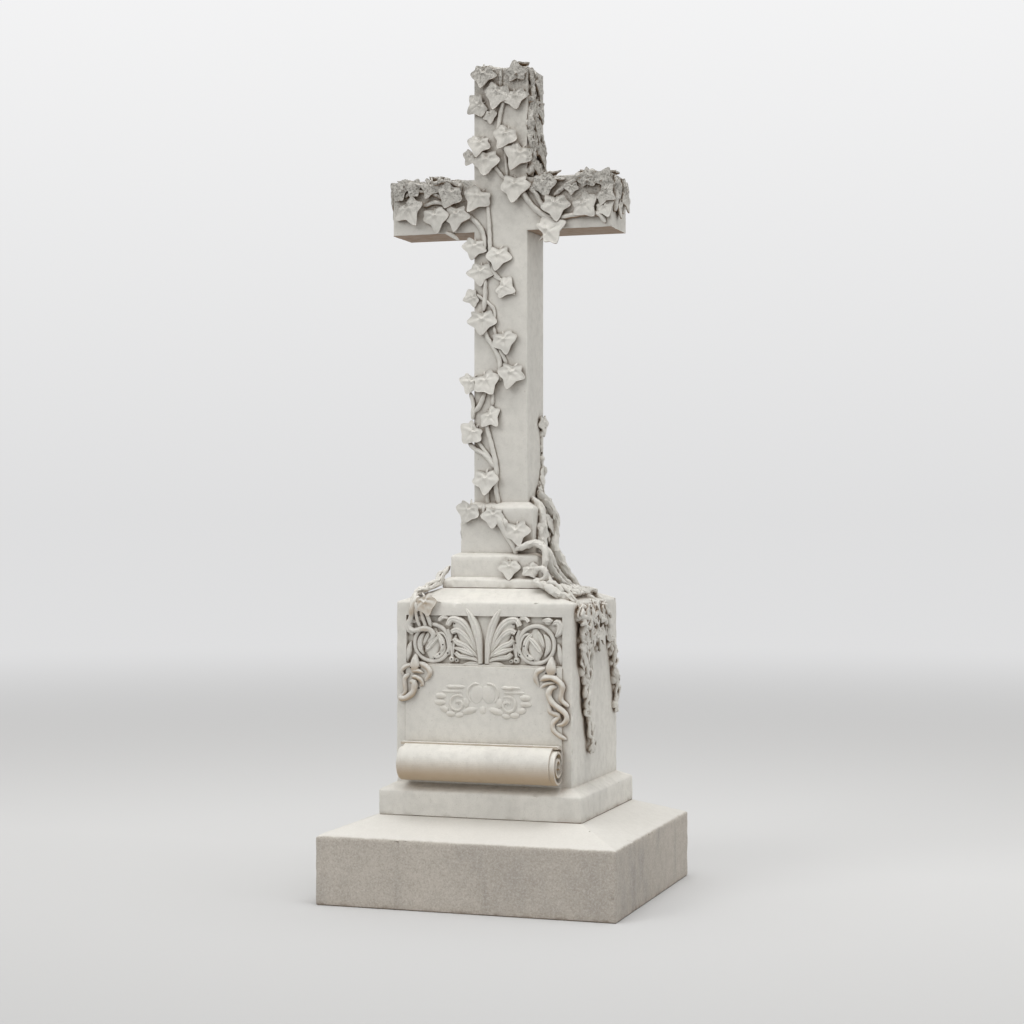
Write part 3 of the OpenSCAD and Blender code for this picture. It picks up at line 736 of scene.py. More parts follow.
class Carver:
    """Collects the solids of one stone and hands out steady random numbers."""

    def __init__(self, seed, ivy):
        self.rng = random.Random(seed)
        noise.seed_set(seed)
        self.ivy = ivy
        self.objects = []
        self.holes = []

    def add(self, solid, name="solid"):
        self.objects.append(mesh_object(name, solid))

    def leaves(self, face, rows, base=0.0):
        """Ivy leaves on a face, each with its stalk."""
        for x, y, tip, size in rows:
            lift = self.rng.uniform(0.0, 0.14) * size
            size *= 1.06
            leaf = ivy_leaf(size, self.rng, self.ivy.relief, self.ivy.unevenness)
            self.add(laid_on(face, leaf, tip, (x, base + y, lift)), "leaf")
            self.stalk(face, x, base + y, tip, size)

    def stalk(self, face, x, y, tip, size):
        """Short leaf stalk that dives into the stone behind the leaf."""
        bend = self.rng.uniform(-0.25, 0.25) * size
        back = [Vector((-0.2, 0, 0.06)), Vector((-0.45, 0, 0.05)), Vector((-0.78, 0, -0.12))]
        points = [Vector((p.x * size, bend * k * k / 3, p.z * size)) for k, p in enumerate(back)]
        solid = stem(points, 0.10 * size, 0.08 * size, self.rng, 8)
        self.add(laid_on(face, solid, tip, (x, y, 0)), "stalk")

    def drill(self, face, x, y, radius, depth=9.0):
        """Small drilled hole, a dark eye in the carving."""
        rings = []
        for out, share in ((-depth, 0.4), (4.0, 1.0), (30.0, 1.0)):
            rings.append([Vector((*circle_point(share * radius, 36 * k), out)) for k in range(10)])
        self.holes.append(mesh_object("eye", laid_on(face, loft(rings), 0.0, (x, y, 0.0))))

    def stone(self):
        """All the solids as one, with the holes drilled."""
        stone = union(self.objects)
        return combined(stone, union(self.holes), "DIFFERENCE") if self.holes else stone

    def stems(self, face, rows, base=0.0, gnarl=0.12):
        """Stems on a face, half sunk in it."""
        for radius, *route in rows:
            points = [Vector((x, base + y, 0.5 * radius)) for x, y in route]
            self.add(laid_on(face, stem(points, radius, 0.85 * radius, self.rng, 12, gnarl)), "stem")

    def strands(self, face, rows, tip=0.8):
        """Strands through points over a face: across, up and out."""
        for radius, *route in rows:
            points = [Vector(p) for p in route]
            self.add(laid_on(face, stem(points, radius, tip * radius, self.rng, 14, 0.08)), "strand")

    def tangle(self, face, rows, base=0.0):
        """Worn stems wound round each other along routes over a face, with dark gaps between them."""
        for count, radius, half_width, *route in rows:
            spine = smooth_path([Vector((x, base + y, 0)) for x, y in route], 12.0)
            last = len(spine) - 1
            for k in range(count):
                phase = 2 * math.pi * k / count + self.rng.uniform(-0.4, 0.4)
                pitch = self.rng.uniform(80, 150)
                points = []
                for i, p in enumerate(spine):
                    along = spine[min(i + 1, last)] - spine[max(i - 1, 0)]
                    across = Vector((-along.y, along.x, 0)).normalized()
                    spread = half_width * (1 - 0.35 * i / last)
                    drift = noise.noise_vector(Vector((12 * i / pitch * 3, phase * 5, k * 3.7))) * 1.9
                    out = min(0.4 * radius + 0.5 * spread * (1 + drift.y), 18.0)
                    points.append(p + across * spread * max(-1.0, min(1.0, drift.x)) + Vector((0, 0, out)))
                self.add(laid_on(face, stem(points, radius, 0.6 * radius, self.rng, 10, 0.6)), "tangle")
            for i in range(1, last, 3):
                spread = half_width * (1 - 0.35 * i / last)
                x, y = (spine[i] + Vector([self.rng.uniform(-spread, spread) for _ in range(3)])).xy
                rx, ry = self.rng.uniform(0.9, 1.6) * radius, self.rng.uniform(1.2, 2.0) * radius
                knob = bead(0, 0, rx, ry, self.rng.uniform(1.3, 2.2) * radius, 3, self.rng.uniform(-30, 30))
                self.add(laid_on(face, knob, 0.0, (x, y, 0)), "knob")
                if i % 2:
                    self.drill(face, x + self.rng.uniform(-8, 8), y + 1.6 * ry, self.rng.uniform(2.5, 4.5))

    def roots(self, corner, rows):
        """Gnarled trunks through points in space, counted from a corner."""
        for radius, *route in rows:
            points = [corner + Vector(p) for p in route]
            self.add(stem(points, radius, 0.75 * radius, self.rng, 14, 0.6), "root")


# ---- marble -----------------------------------------------------------------------------------


def shaded(colour, share):
    """A colour made darker or lighter."""
    return tuple(c * share for c in colour[:3]) + (1,)


def socket_named(sockets, identifier):
    """The socket with this identifier, where several share a name."""
    return next(socket for socket in sockets if socket.identifier == identifier)


class Shader:
    """Small helper that adds nodes to a material and links them."""

    def __init__(self, name):
        self.material = bpy.data.materials.new(name)
        self.material.use_nodes = True
        self.tree = self.material.node_tree
        self.surface = self.tree.nodes["Principled BSDF"]
        self.place = self.tree.nodes.new("ShaderNodeTexCoord").outputs["Object"]

    def link(self, source, socket):
        self.tree.links.new(source, socket)

    def noise(self, scale, detail=4.0, roughness=0.55, stretch=None):
        """Cloudy noise from 0 to 1, stretched along the axes if asked."""
        node = self.tree.nodes.new("ShaderNodeTexNoise")
        node.inputs["Scale"].default_value = scale
        node.inputs["Detail"].default_value = detail
        node.inputs["Roughness"].default_value = roughness
        source = self.place
        if stretch:
            mapping = self.tree.nodes.new("ShaderNodeMapping")
            mapping.inputs["Scale"].default_value = stretch
            self.link(self.place, mapping.inputs["Vector"])
            source = mapping.outputs["Vector"]
        self.link(source, node.inputs["Vector"])
        return node.outputs["Fac"]

    def band(self, value, low, high, low_out=0.0, high_out=1.0):
        """Value between low and high spread smoothly over low_out to high_out."""
        node = self.tree.nodes.new("ShaderNodeMapRange")
        node.interpolation_type = "SMOOTHSTEP"
        ends = {"From Min": low, "From Max": high, "To Min": low_out, "To Max": high_out}
        for name, number in ends.items():
            node.inputs[name].default_value = number
        self.link(value, node.inputs["Value"])
        return node.outputs["Result"]

    def math(self, operation, a, b=0.0, clamp=True):
        node = self.tree.nodes.new("ShaderNodeMath")
        node.operation = operation
        node.use_clamp = clamp and operation in ("ADD", "MULTIPLY")
        for socket, value in zip(node.inputs, (a, b)):
            if isinstance(value, (int, float)):
                socket.default_value = value
            else:
                self.link(value, socket)
        return node.outputs["Value"]

    def times(self, *values):
        """The product of values from 0 to 1."""
        product = values[0]
        for value in values[1:]:
            product = self.math("MULTIPLY", product, value)
        return product

    def mix(self, factor, a, b):
        """Colour a turned into b as far as the factor says."""
        node = self.tree.nodes.new("ShaderNodeMix")
        node.data_type = "RGBA"
        colour_a, colour_b = (socket_named(node.inputs, name) for name in ("A_Color", "B_Color"))
        for socket, value in ((node.inputs["Factor"], factor), (colour_a, a), (colour_b, b)):
            if isinstance(value, (int, float)):
                socket.default_value = value
            elif isinstance(value, bpy.types.NodeSocket):
                self.link(value, socket)
            else:
                socket.default_value = tuple(value)
        return socket_named(node.outputs, "Result_Color")

    def hollows(self, distance, samples=6):
        """1 deep in a hollow, 0 on an open face."""
        node = self.tree.nodes.new("ShaderNodeAmbientOcclusion")
        node.samples = samples
        node.inputs["Distance"].default_value = distance
        return self.math("SUBTRACT", 1.0, node.outputs["AO"])

    def facing(self, axis):
        """How far the surface faces along X, Y or Z."""
        geometry = self.tree.nodes.new("ShaderNodeNewGeometry")
        split = self.tree.nodes.new("ShaderNodeSeparateXYZ")
        self.link(geometry.outputs["Normal"], split.inputs["Vector"])
        return split.outputs[axis]

    def position(self, axis):
        """Place in metres along X, Y or Z."""
        split = self.tree.nodes.new("ShaderNodeSeparateXYZ")
        self.link(self.place, split.inputs["Vector"])
        return split.outputs[axis]

    def bump(self, height, strength, distance, normal=None):
        node = self.tree.nodes.new("ShaderNodeBump")
        node.inputs["Strength"].default_value = strength
        node.inputs["Distance"].default_value = distance
        self.link(height, node.inputs["Height"])
        if normal is not None:
            self.link(normal, node.inputs["Normal"])
        return node.outputs["Normal"]


def marble_base(shader, clean, shade):
    """Clouded white marble with fine crystal grain: its colour, its mottling and its grain."""
    clouds = shader.band(shader.noise(3.0, 4.0), 0.35, 0.68)
    mottle = shader.band(shader.noise(38.0, 6.0, 0.65), 0.38, 0.7)
    grain = shader.noise(520.0, 2.0, 0.6)
    crystals = shader.band(grain, 0.5, 0.75)
    flecks = shader.band(shader.noise(210.0, 3.0, 0.6), 0.66, 0.74)
    colour = shader.mix(clouds, clean, shade)
    colour = shader.mix(shader.times(mottle, 0.35), colour, shaded(shade, 0.84))
    colour = shader.mix(shader.times(crystals, 0.32), colour, (0.40, 0.375, 0.335, 1))
    colour = shader.mix(shader.times(flecks, 0.5), colour, (0.22, 0.19, 0.155, 1))
    return colour, mottle, grain


def soiled_and_shaded(shader, colour, grime_and_shade, mottle, wide_share, tight_share, deepest=0.35):
    """Brown dirt and painted shade in the hollows, the painted shade darkest right in the cuts."""
    wide = shader.band(shader.hollows(0.045), 0.18, 0.85)
    tight = shader.band(shader.hollows(0.014), 0.25, 0.8)
    patchy = shader.math("ADD", shader.times(mottle, 0.5), 0.6)
    colour = shader.mix(shader.times(wide, patchy, 0.8 * wide_share), colour, grime_and_shade)
    return shader.mix(shader.times(tight, 0.9 * tight_share), colour, shaded(grime_and_shade, deepest))


def finish_surface(shader, colour, mottle, grain, rough):
    """Joins colour, roughness, grain and pits to the surface."""
    surface = shader.surface.inputs
    shader.link(colour, surface["Base Color"])
    shader.link(shader.band(mottle, 0.0, 1.0, rough - 0.1, rough + 0.12), surface["Roughness"])
    surface["Specular IOR Level"].default_value = 0.35
    fine = shader.bump(grain, 0.28, 0.0006)
    pits = shader.band(shader.noise(150.0, 3.0, 0.7), 0.28, 0.42)
    shader.link(shader.bump(pits, 0.25, 0.0010, fine), surface["Normal"])
    return shader.material


def high_growth(shader, level):
    """Where lichen grows: the tops of the arms and head, and the head's right side."""
    sideways = shader.math("ABSOLUTE", shader.position("X"))
    arm_tops = shader.times(shader.band(level, 1.97, 2.06), shader.band(sideways, 0.078, 0.11))
    head_top = shader.band(level, 2.27, 2.39)
    head_side = shader.times(shader.band(shader.position("X"), 0.079, 0.086), shader.band(level, 2.06, 2.12))
    above_arms = shader.band(shader.position("Z"), 1.9, 2.0)
    upward = shader.times(shader.band(shader.facing("Z"), 0.25, 0.8), above_arms)
    growth = arm_tops
    for more in (head_top, shader.times(upward, 0.7), shader.times(head_side, 0.6)):
        growth = shader.math("ADD", growth, more)
    return growth


def cross_marble(colours):
    """White marble, grey with lichen on the high tops, with brown stain and painted shade under the arms."""
    shader = Shader("cross_marble")
    colour, mottle, grain = marble_base(shader, colours.clean, colours.shade)
    height = shader.position("Z")
    ragged = shader.times(shader.math("SUBTRACT", shader.noise(26.0, 5.0, 0.7), 0.5), 0.10)
    level = shader.math("ADD", height, ragged, clamp=False)
    growth = high_growth(shader, level)
    spots = shader.band(shader.noise(95.0, 6.0, 0.75), 0.42, 0.62, 0.35, 1.0)
    specks = shader.band(shader.noise(190.0, 4.0, 0.75), 0.53, 0.62)
    colour = shader.mix(shader.times(growth, spots, 0.8), colour, colours.lichen)
    colour = shader.mix(shader.times(growth, specks, 0.85), colour, (0.045, 0.04, 0.035, 1))
    aged = shader.times(shader.band(level, 1.84, 2.12), shader.band(mottle, 0.0, 1.0, 0.3, 0.5))
    colour = shader.mix(aged, colour, (0.34, 0.322, 0.29, 1))
    # Brown stain and painted shade on the downward faces under the arms.
    underside_stain_and_shade = shader.times(shader.band(shader.facing("Z"), -0.5, -0.9), shader.band(height, 1.8, 1.9))
    colour = shader.mix(shader.times(underside_stain_and_shade, 0.92), colour, (0.26, 0.17, 0.105, 1))
    # Brown dirt and painted shade in the hollows, darkest in the cuts.
    colour = soiled_and_shaded(shader, colour, colours.grime_and_shade, mottle, 1.0, 1.0, 0.45)
    return finish_surface(shader, colour, mottle, grain, 0.62)


def pedestal_marble(colours):
    """White marble, with dirt and painted shade in the carved panel, tan stain and painted shade under the
    scroll, and brown dirt and painted shade in the side's ivy.
    """
    shader = Shader("pedestal_marble")
    colour, mottle, grain = marble_base(shader, colours.clean, colours.shade)
    streaks = shader.band(shader.noise(9.0, 5.0, 0.65, (1.0, 1.0, 0.12)), 0.52, 0.78)
    colour = shader.mix(shader.times(streaks, 0.25), colour, (0.40, 0.385, 0.36, 1))
    # Brown dirt and painted shade in the hollows of the panel and carving.
    colour = soiled_and_shaded(shader, colour, colours.grime_and_shade, mottle, 0.3, 0.8, 0.8)
    # Tan stain and painted shade on the scroll's downward-facing lower half.
    plinth_top = PLINTH_Z * MM + 0.094
    before_sheet = shader.band(shader.position("Y"), -0.236, -0.244)
    above_plinth = shader.band(shader.position("Z"), plinth_top, plinth_top + 0.004)
    lower_half = shader.band(shader.facing("Z"), 0.45, -0.75, 0.0, 0.9)
    colour = shader.mix(shader.times(before_sheet, above_plinth, lower_half), colour, (0.43, 0.32, 0.205, 1))
    # Brown dirt and painted shade in the hollows of the ivy on the right side.
    side = shader.band(shader.position("X"), 0.228, 0.238)
    caught_dirt_and_shade = shader.times(side, shader.band(shader.hollows(0.04), 0.12, 0.55), 0.62)
    colour = shader.mix(caught_dirt_and_shade, colour, (0.20, 0.13, 0.075, 1))
    return finish_surface(shader, colour, mottle, grain, 0.6)


def slab_marble(colours):
    """Coarse beige marble with grey streaks down its sides."""
    shader = Shader("slab_marble")
    colour, mottle, grain = marble_base(shader, shaded(colours.slab, 1.14), colours.slab)
    sides = shader.band(shader.facing("Z"), 0.9, 0.4)
    streaks = shader.band(shader.noise(11.0, 6.0, 0.7, (1.0, 1.0, 0.16)), 0.5, 0.74)
    colour = shader.mix(shader.times(streaks, sides, 0.85), colour, (0.285, 0.265, 0.24, 1))
    stains = shader.band(shader.noise(6.0, 6.0, 0.75, (1.0, 1.0, 0.5)), 0.48, 0.68)
    right_more = shader.band(shader.facing("X"), 0.2, 0.9, 0.35, 0.75)
    colour = shader.mix(shader.times(stains, sides, right_more), colour, (0.30, 0.28, 0.26, 1))
    dark_grains = shader.band(shader.noise(175.0, 2.0, 0.8), 0.47, 0.60)
    colour = shader.mix(shader.times(dark_grains, 0.34), colour, (0.27, 0.232, 0.195, 1))
    pale_grains = shader.band(shader.noise(150.0, 2.0, 0.8), 0.52, 0.62)
    colour = shader.mix(shader.times(pale_grains, 0.30), colour, (0.62, 0.595, 0.55, 1))
    # Paler on the faces that look up.
    paler_top = shader.band(shader.facing("Z"), 0.5, 0.9)
    colour = shader.mix(shader.times(paler_top, 0.7), colour, (0.70, 0.69, 0.655, 1))
    # Brown dirt and painted shade in the hollows and next to the pedestal's foot.
    colour = soiled_and_shaded(shader, colour, colours.grime_and_shade, mottle, 0.6, 0.6)
    return finish_surface(shader, colour, mottle, grain, 0.72)


# ---- operators ----------------------------------------------------------------------------------


def settings(context):
    """The sizes, the ivy's settings and the colours."""
    scene = context.scene
    return scene.gravestone_sizes, scene.gravestone_ivy, scene.gravestone_colours


class GRAVESTONE_OT_base_slab(bpy.types.Operator):
    """Cuts the weathered base slab"""

    bl_idname = "gravestone.base_slab"
    bl_label = "Base Slab"

    def execute(self, context):
        sizes, ivy, colours = settings(context)
        carver = Carver(ivy.seed, ivy)
        width, depth = SLAB_HIGH.x - SLAB_LOW.x, SLAB_HIGH.y - SLAB_LOW.y
        plinth_w, plinth_d = sizes.plinth_w / MM, sizes.plinth_d / MM
        wear = 1.3 * sizes.wear / MM
        side, step = 195.0, 9.0
        levels = shouldered(0.0, width, depth, side, SLAB_HIGH.z - side, plinth_w, plinth_d, wear, step)
        carver.add(block(levels, 1.1 * wear, step, wear), "slab")
        finished(carver.stone(), "BaseSlab", "base_slab", slab_marble(colours))
        return {"FINISHED"}


# Right half of the panel's carving: each leaf or lobe as its half-widths, its height and the
# points that it runs through, from the middle of the panel's foot; the left half mirrors it
PANEL_LEAVES = (
    ((10, 24, 32, 30, 22, 8), 6, ((22, 6), (34, 44), (50, 84), (72, 108), (92, 114))),
    ((8, 20, 28, 22, 10), 6, ((152, 104), (154, 82), (156, 60), (156, 38), (154, 16))),
    ((8, 10, 13, 14, 11, 2), 13, ((10, 4), (14, 60), (26, 108), (40, 140), (56, 166))),
    ((5, 8, 11, 12, 11, 8), 12, ((22, 42), (36, 80), (54, 110), (76, 126), (98, 128), (108, 112))),
    ((4, 8, 10, 11, 8), 11, ((22, 36), (42, 66), (60, 86), (80, 98), (96, 92))),
    ((4, 8, 10, 10, 7), 11, ((18, 22), (38, 40), (58, 54), (78, 62), (90, 74))),
    ((3, 8, 11, 8, 2), 13, ((92, 48), (74, 44), (56, 38), (40, 32), (28, 24))),
    ((4, 7, 9, 9, 7), 11, ((14, 10), (34, 18), (54, 22), (72, 24), (84, 34))),
    ((5, 8, 8, 6, 2), 8, ((10, 3), (30, 3), (48, 2), (68, -4))),
    ((4, 9, 11, 8, 3), 11, ((146, 92), (134, 78), (126, 62), (124, 46), (134, 32))),
    ((3, 9, 11, 9, 2), 13, ((130, 84), (146, 70), (162, 52), (176, 34))),
    ((3, 9, 11, 9, 3), 11, ((178, 92), (190, 72), (192, 48), (182, 28))),
    ((3, 7, 9, 7, 2), 12, ((160, 100), (168, 82), (176, 66), (182, 52))),
    ((3, 8, 10, 9, 3), 10, ((116, 54), (122, 38), (136, 24), (154, 20))),
    ((3, 8, 10, 3), 11, ((172, 128), (188, 130), (206, 128))),
    ((4, 11, 14, 11, 4), 11, ((202, 116), (216, 124), (226, 118), (227, 100), (214, 84))),
    ((3, 8, 10, 7, 2), 10, ((220, 64), (226, 46), (228, 26), (231, 4))),
    ((10, 9, 7, 2), 9, ((208, -2), (206, 10), (200, 22))),
    ((4, 7, 8, 6), 10, ((104, 128), (116, 135), (128, 132), (134, 124))),
    ((3, 7, 8, 5), 9, ((94, 46), (100, 66), (102, 84), (108, 100))),
)
PANEL_RING = (156, 60, 53, 6.5)
PANEL_BALLS = ((97, 15, 11), (82, 12, 8), (108, 32, 8), (148, 16, 9), (190, 127, 13), (96, 64, 7))
PANEL_STEMS = (
    (5.5, (96, 18), (97, 40), (101, 62), (108, 86)), (5, (108, 44), (111, 70), (124, 88), (142, 88)),
    (5, (84, 84), (90, 58), (92, 30)), (5, (150, 14), (172, 12), (196, 24)),
)
PANEL_EYES = ((88, 116), (92, 84), (97, 15), (82, 12), (108, 32), (132, 29), (148, 16), (122, 56), (96, 64))


def mirrored(solid):
    """The same solid on the other side of the middle."""
    points, faces = solid
    return [Vector((-p.x, p.y, p.z)) for p in points], [tuple(reversed(f)) for f in faces]


def panel_carving(carver, face):
    """Palmette, curled leaves and scrolling rings of the sunk panel, mirrored about its middle."""
    for side in (1, -1):
        def put(solid):
            carver.add(laid_on(face, solid if side > 0 else mirrored(solid)), "panel")

        for widths, high, route in PANEL_LEAVES:
            last = len(route) - 1
            path = [(x, y, 1.0 + 5.0 * k / last) for k, (x, y) in enumerate(route)]
            put(blade(path, widths, high, 14))
        x, y, radius, thick = PANEL_RING
        put(hoop(x, y, radius, thick, 5))
        for radius, *route in PANEL_STEMS:
            put(stem([Vector((x, y, 5)) for x, y in route], radius, 0.8 * radius, carver.rng))
        for x, y, radius in PANEL_BALLS:
            put(bead(x, y, radius, radius, 11, 3))
        for x, y in PANEL_EYES:
            carver.drill(face, side * x, y, 2.6)


# Strands that gather below the big leaf and loop into the left-hand ring, over the panel's floor
RING_STRANDS = (
    (8, (-198, 192, 6), (-206, 180, 18), (-213, 160, 21), (-217, 138, 16), (-222, 124, 12), (-226, 108, 9),
        (-214, 95, 12), (-186, 99, 15)),
    (6, (-200, 172, 20), (-202, 148, 18), (-198, 126, 16), (-190, 104, 13)),
    (6, (-186, 168, 20), (-184, 144, 18), (-178, 122, 16), (-172, 102, 13)),
    (6, (-176, 160, 20), (-168, 138, 17), (-162, 120, 14), (-160, 104, 11)),
    (8, (-204, 96, 12), (-180, 101, 16), (-160, 98, 15), (-151, 84, 12), (-158, 70, 9), (-172, 60, 5)),
)
# Knotted strands at the sheet's upper corners, from the middle of the panel's lower edge
LEFT_KNOT = (
    (9, (-191, 3, 4), (-172, -6, 7), (-158, -20, 8), (-162, -35, 7), (-176, -49, 4)),
    (7, (-216, -3, 5), (-235, -9, 6), (-246, -23, 5), (-238, -34, 4)),
    (7, (-216, -22, 6), (-196, -20, 9), (-178, -26, 7)),
    (7, (-213, -37, 8), (-200, -37, 11), (-185, -46, 10), (-181, -58, 8), (-191, -61, 5)),
    (7, (-221, -29, 5), (-235, -41, 8), (-235, -61, 9), (-233, -80, 8), (-241, -89, 6), (-256, -93, 4)),
    (10, (-220, -52, 6), (-205, -52, 10), (-205, -68, 11), (-210, -83, 11), (-228, -97, 10), (-244, -100, 9),
        (-256, -98, 5)),
)
RIGHT_KNOT = (
    (9, (171, -40, 4), (188, -31, 9), (210, -31, 11), (230, -43, 11), (238, -57, 10), (233, -76, 9),
        (233, -92, 7), (245, -104, 5), (254, -110, 3)),
    (9, (220, -57, 6), (206, -59, 11), (198, -76, 13), (208, -99, 13), (230, -116, 12), (246, -130, 10),
        (250, -146, 9), (238, -160, 8), (220, -163, 6)),
    (8, (197, -102, 4), (203, -127, 7), (220, -132, 9), (228, -139, 8), (211, -156, 9), (211, -177, 9),
        (230, -193, 8), (248, -202, 5)),
    (8, (186, -5, 5), (164, -14, 7), (158, -33, 7), (168, -57, 4)),
    (7, (172, -60, 4), (190, -48, 7), (215, -45, 7)),
)
KNOT_EYES = ((-216, -11), (-191, -11), (-194, -70), (188, -19), (217, -20))
# Low worn ornament of the right half of the sheet, from its own middle: bars, then ovals as
# across, up, half-lengths, height and turn
SHEET_BARS = ((6.5, (54, 50), (112, 50)), (5, (62, 37), (124, 37)))
SHEET_OVALS = (
    (127, 23, 17, 9, 4.5, 0), (129, 5, 18, 9, 4.5, 0), (116, -14, 14, 10, 4.5, 20), (96, -27, 15, 9, 4.5, 0),
    (70, -30, 14, 8, 4, -10), (40, -17, 23, 10, 4.5, -14), (50, 6, 10, 14, 3.5, 0),
)
# Curls of that half: radius, then points across and up
SHEET_CURLS = (
    (5.5, (60, 22), (70, 25), (84, 24), (94, 14), (97, 0), (90, -13), (77, -17), (65, -11), (61, 0),
        (67, 9), (78, 8), (82, 0)),
    (4.5, (10, 58), (22, 61), (38, 52), (46, 36), (44, 20), (32, 6)),
)


def sheet_ornament(carver, face):
    """Low worn bars, curls and ovals in the middle of the sheet."""
    for side in (1, -1):
        for radius, *route in SHEET_BARS + SHEET_CURLS:
            points = [Vector((side * x, y, 0.8 - 0.45 * radius)) for x, y in route]
            carver.add(laid_on(face, stem(points, radius, 0.9 * radius, carver.rng, 12, 0.15)), "bar")
        for x, y, rx, ry, high, turn in SHEET_OVALS:
            carver.add(laid_on(face, bead(side * x, y, rx, ry, high, 3, side * turn)), "oval")
        carver.add(laid_on(face, bead(side * 17, 30, 20, 27, 3.2, 3, side * 14)), "oval")
        carver.drill(face, side * 73, 0, 2.0, 3)
    carver.add(laid_on(face, bead(0, -14, 10, 12, 3.5, 3)), "oval")


def sheet_knots(carver, face):
    """Knotted vine strands that tie the sheet's upper corners, each below a petal."""
    carver.strands(face, LEFT_KNOT)
    carver.strands(face, RIGHT_KNOT)
    for x in (-205, 203):
        path = [(x, 28, 0), (x, 12, 6), (x, -8, 8), (x, -22, 4)]
        carver.add(laid_on(face, blade(path, (3, 11, 16, 12), 9, 8)), "petal")
    for x, y in KNOT_EYES:
        carver.drill(face, x, y, 3.0, 4)


def scroll(carver, length, radius, y, z):
    """Rolled foot of the sheet: a core with a spiral wall that stands out at both ends."""
    turns, wall, sides, recess = 2.4, 8.0, 44, 14.0
    core = []
    for x in (-length / 2 + recess, length / 2 - recess):
        round_core = [circle_point(radius - 4, 360 * k / 64) for k in range(64)]
        core.append([Vector((x, y + u, z + v)) for u, v in round_core])
    carver.add(loft(core), "core")
    steps = round(turns * sides)
    outer, inner = [], []
    for k in range(steps + 1):
        t = k / steps
        angle = 100 - 360 * turns * t
        r = radius - (radius - 16) * max(0.0, t * turns - 0.35) / (turns - 0.35)
        outer.append(circle_point(r, angle))
        inner.append(circle_point(r - wall, angle))
    section = outer + list(reversed(inner))
    rings = []
    end = length / 2
    for x, shrink in ((-end, 1.5), (-end + 2.5, 0), (end - 2.5, 0), (end, 1.5)):
        ring = []
        for k, (u, v) in enumerate(section):
            scale = 1 - shrink / math.hypot(u, v) if k <= steps else 1.0
            ring.append(Vector((x, y + u * scale, z + v * scale)))
        rings.append(ring)
    carver.add(loft(rings), "spiral")


def pedestal_body(sizes, die_z, panel_z, step_w, die_rise, panel_h, panel_sink):
    """Plinth and die in one, with the panel sunk in its front."""
    wear, step = sizes.wear / MM, 12.0
    plinth_w, plinth_d = sizes.plinth_w / MM, sizes.plinth_d / MM
    die_w, die_d, panel_w = sizes.die_w / MM, sizes.die_d / MM, sizes.panel_w / MM
    levels = shouldered(PLINTH_Z, plinth_w, plinth_d, 72.0, 20.0, die_w, die_d, wear, step)
    die_h = CROSS_Z - die_rise - die_z
    levels += shouldered(die_z, die_w, die_d, die_h, die_rise, step_w, step_w, wear, step)[2:]
    body = mesh_object("die", block(levels, 1.2 * wear, step, wear))
    levels = [(0, panel_w - 6, panel_h - 6, False), (panel_sink + 5, panel_w, panel_h, False)]
    recess = mesh_object("recess", block(levels, 1.0, 400.0, 0.0))
    place = Vector((0, panel_sink - die_d / 2, panel_z + panel_h / 2)) * MM
    recess.data.transform(Matrix.Translation(place) @ Matrix.Rotation(math.radians(90), 4, "X"))
    return combined(body, recess, "DIFFERENCE")


class GRAVESTONE_OT_pedestal(bpy.types.Operator):
    """Carves the pedestal with its panel, sheet, scroll and hanging ivy"""

    bl_idname = "gravestone.pedestal"
    bl_label = "Pedestal"

    def execute(self, context):
        sizes, ivy, colours = settings(context)
        carver = Carver(ivy.seed + 1, ivy)
        die_w, die_d, panel_w = sizes.die_w / MM, sizes.die_d / MM, sizes.panel_w / MM
        radius = sizes.scroll_r / MM
        step_w, die_rise, panel_h, panel_sink, sheet_t = 306.0, 38.0, 140.0, 12.0, 5.0
        die_z = PLINTH_Z + 92.0
        panel_z = die_z + 339.0
        body = pedestal_body(sizes, die_z, panel_z, step_w, die_rise, panel_h, panel_sink)
        carver.objects.append(body)
        floor = front_face(die_d - 2 * panel_sink, panel_z)
        panel_carving(carver, floor)
        carver.strands(floor, RING_STRANDS, 0.9)
        face = front_face(die_d)
        scroll_z = die_z + 63.0
        sheet_h = panel_z - 4 - scroll_z
        levels = [
            (-6, panel_w, sheet_h, False), (sheet_t - 2, panel_w, sheet_h, True),
            (sheet_t, panel_w - 3, sheet_h - 3, False),
        ]
        sheet = block(levels, 2.0, 8.0, 1.5)
        carver.add(laid_on(face, sheet, 0.0, (0, scroll_z + sheet_h / 2, 0)), "sheet")
        sheet_ornament(carver, front_face(die_d + 2 * sheet_t, die_z + 226))
        sheet_knots(carver, front_face(die_d, panel_z))
        scroll(carver, panel_w - 2, radius, -die_d / 2 - 0.6 * radius, scroll_z)
        carver.leaves(face, DIE_FRONT_LEAVES, die_z)
        side = right_face(die_w, die_z)
        carver.leaves(side, DIE_SIDE_LEAVES)
        carver.tangle(side, DIE_SIDE_TANGLES)
        slope = right_slope(step_w, die_w, CROSS_Z, die_rise)
        carver.tangle(slope, SLOPE_TANGLES)
        carver.roots(Vector((step_w / 2, -step_w / 2, CROSS_Z)), CORNER_ROOTS + CORNER_LOOPS)
        carver.roots(Vector((-step_w / 2, -step_w / 2, CROSS_Z)), LEFT_VINE)
        finished(carver.stone(), "Pedestal", "pedestal", pedestal_marble(colours))
        return {"FINISHED"}


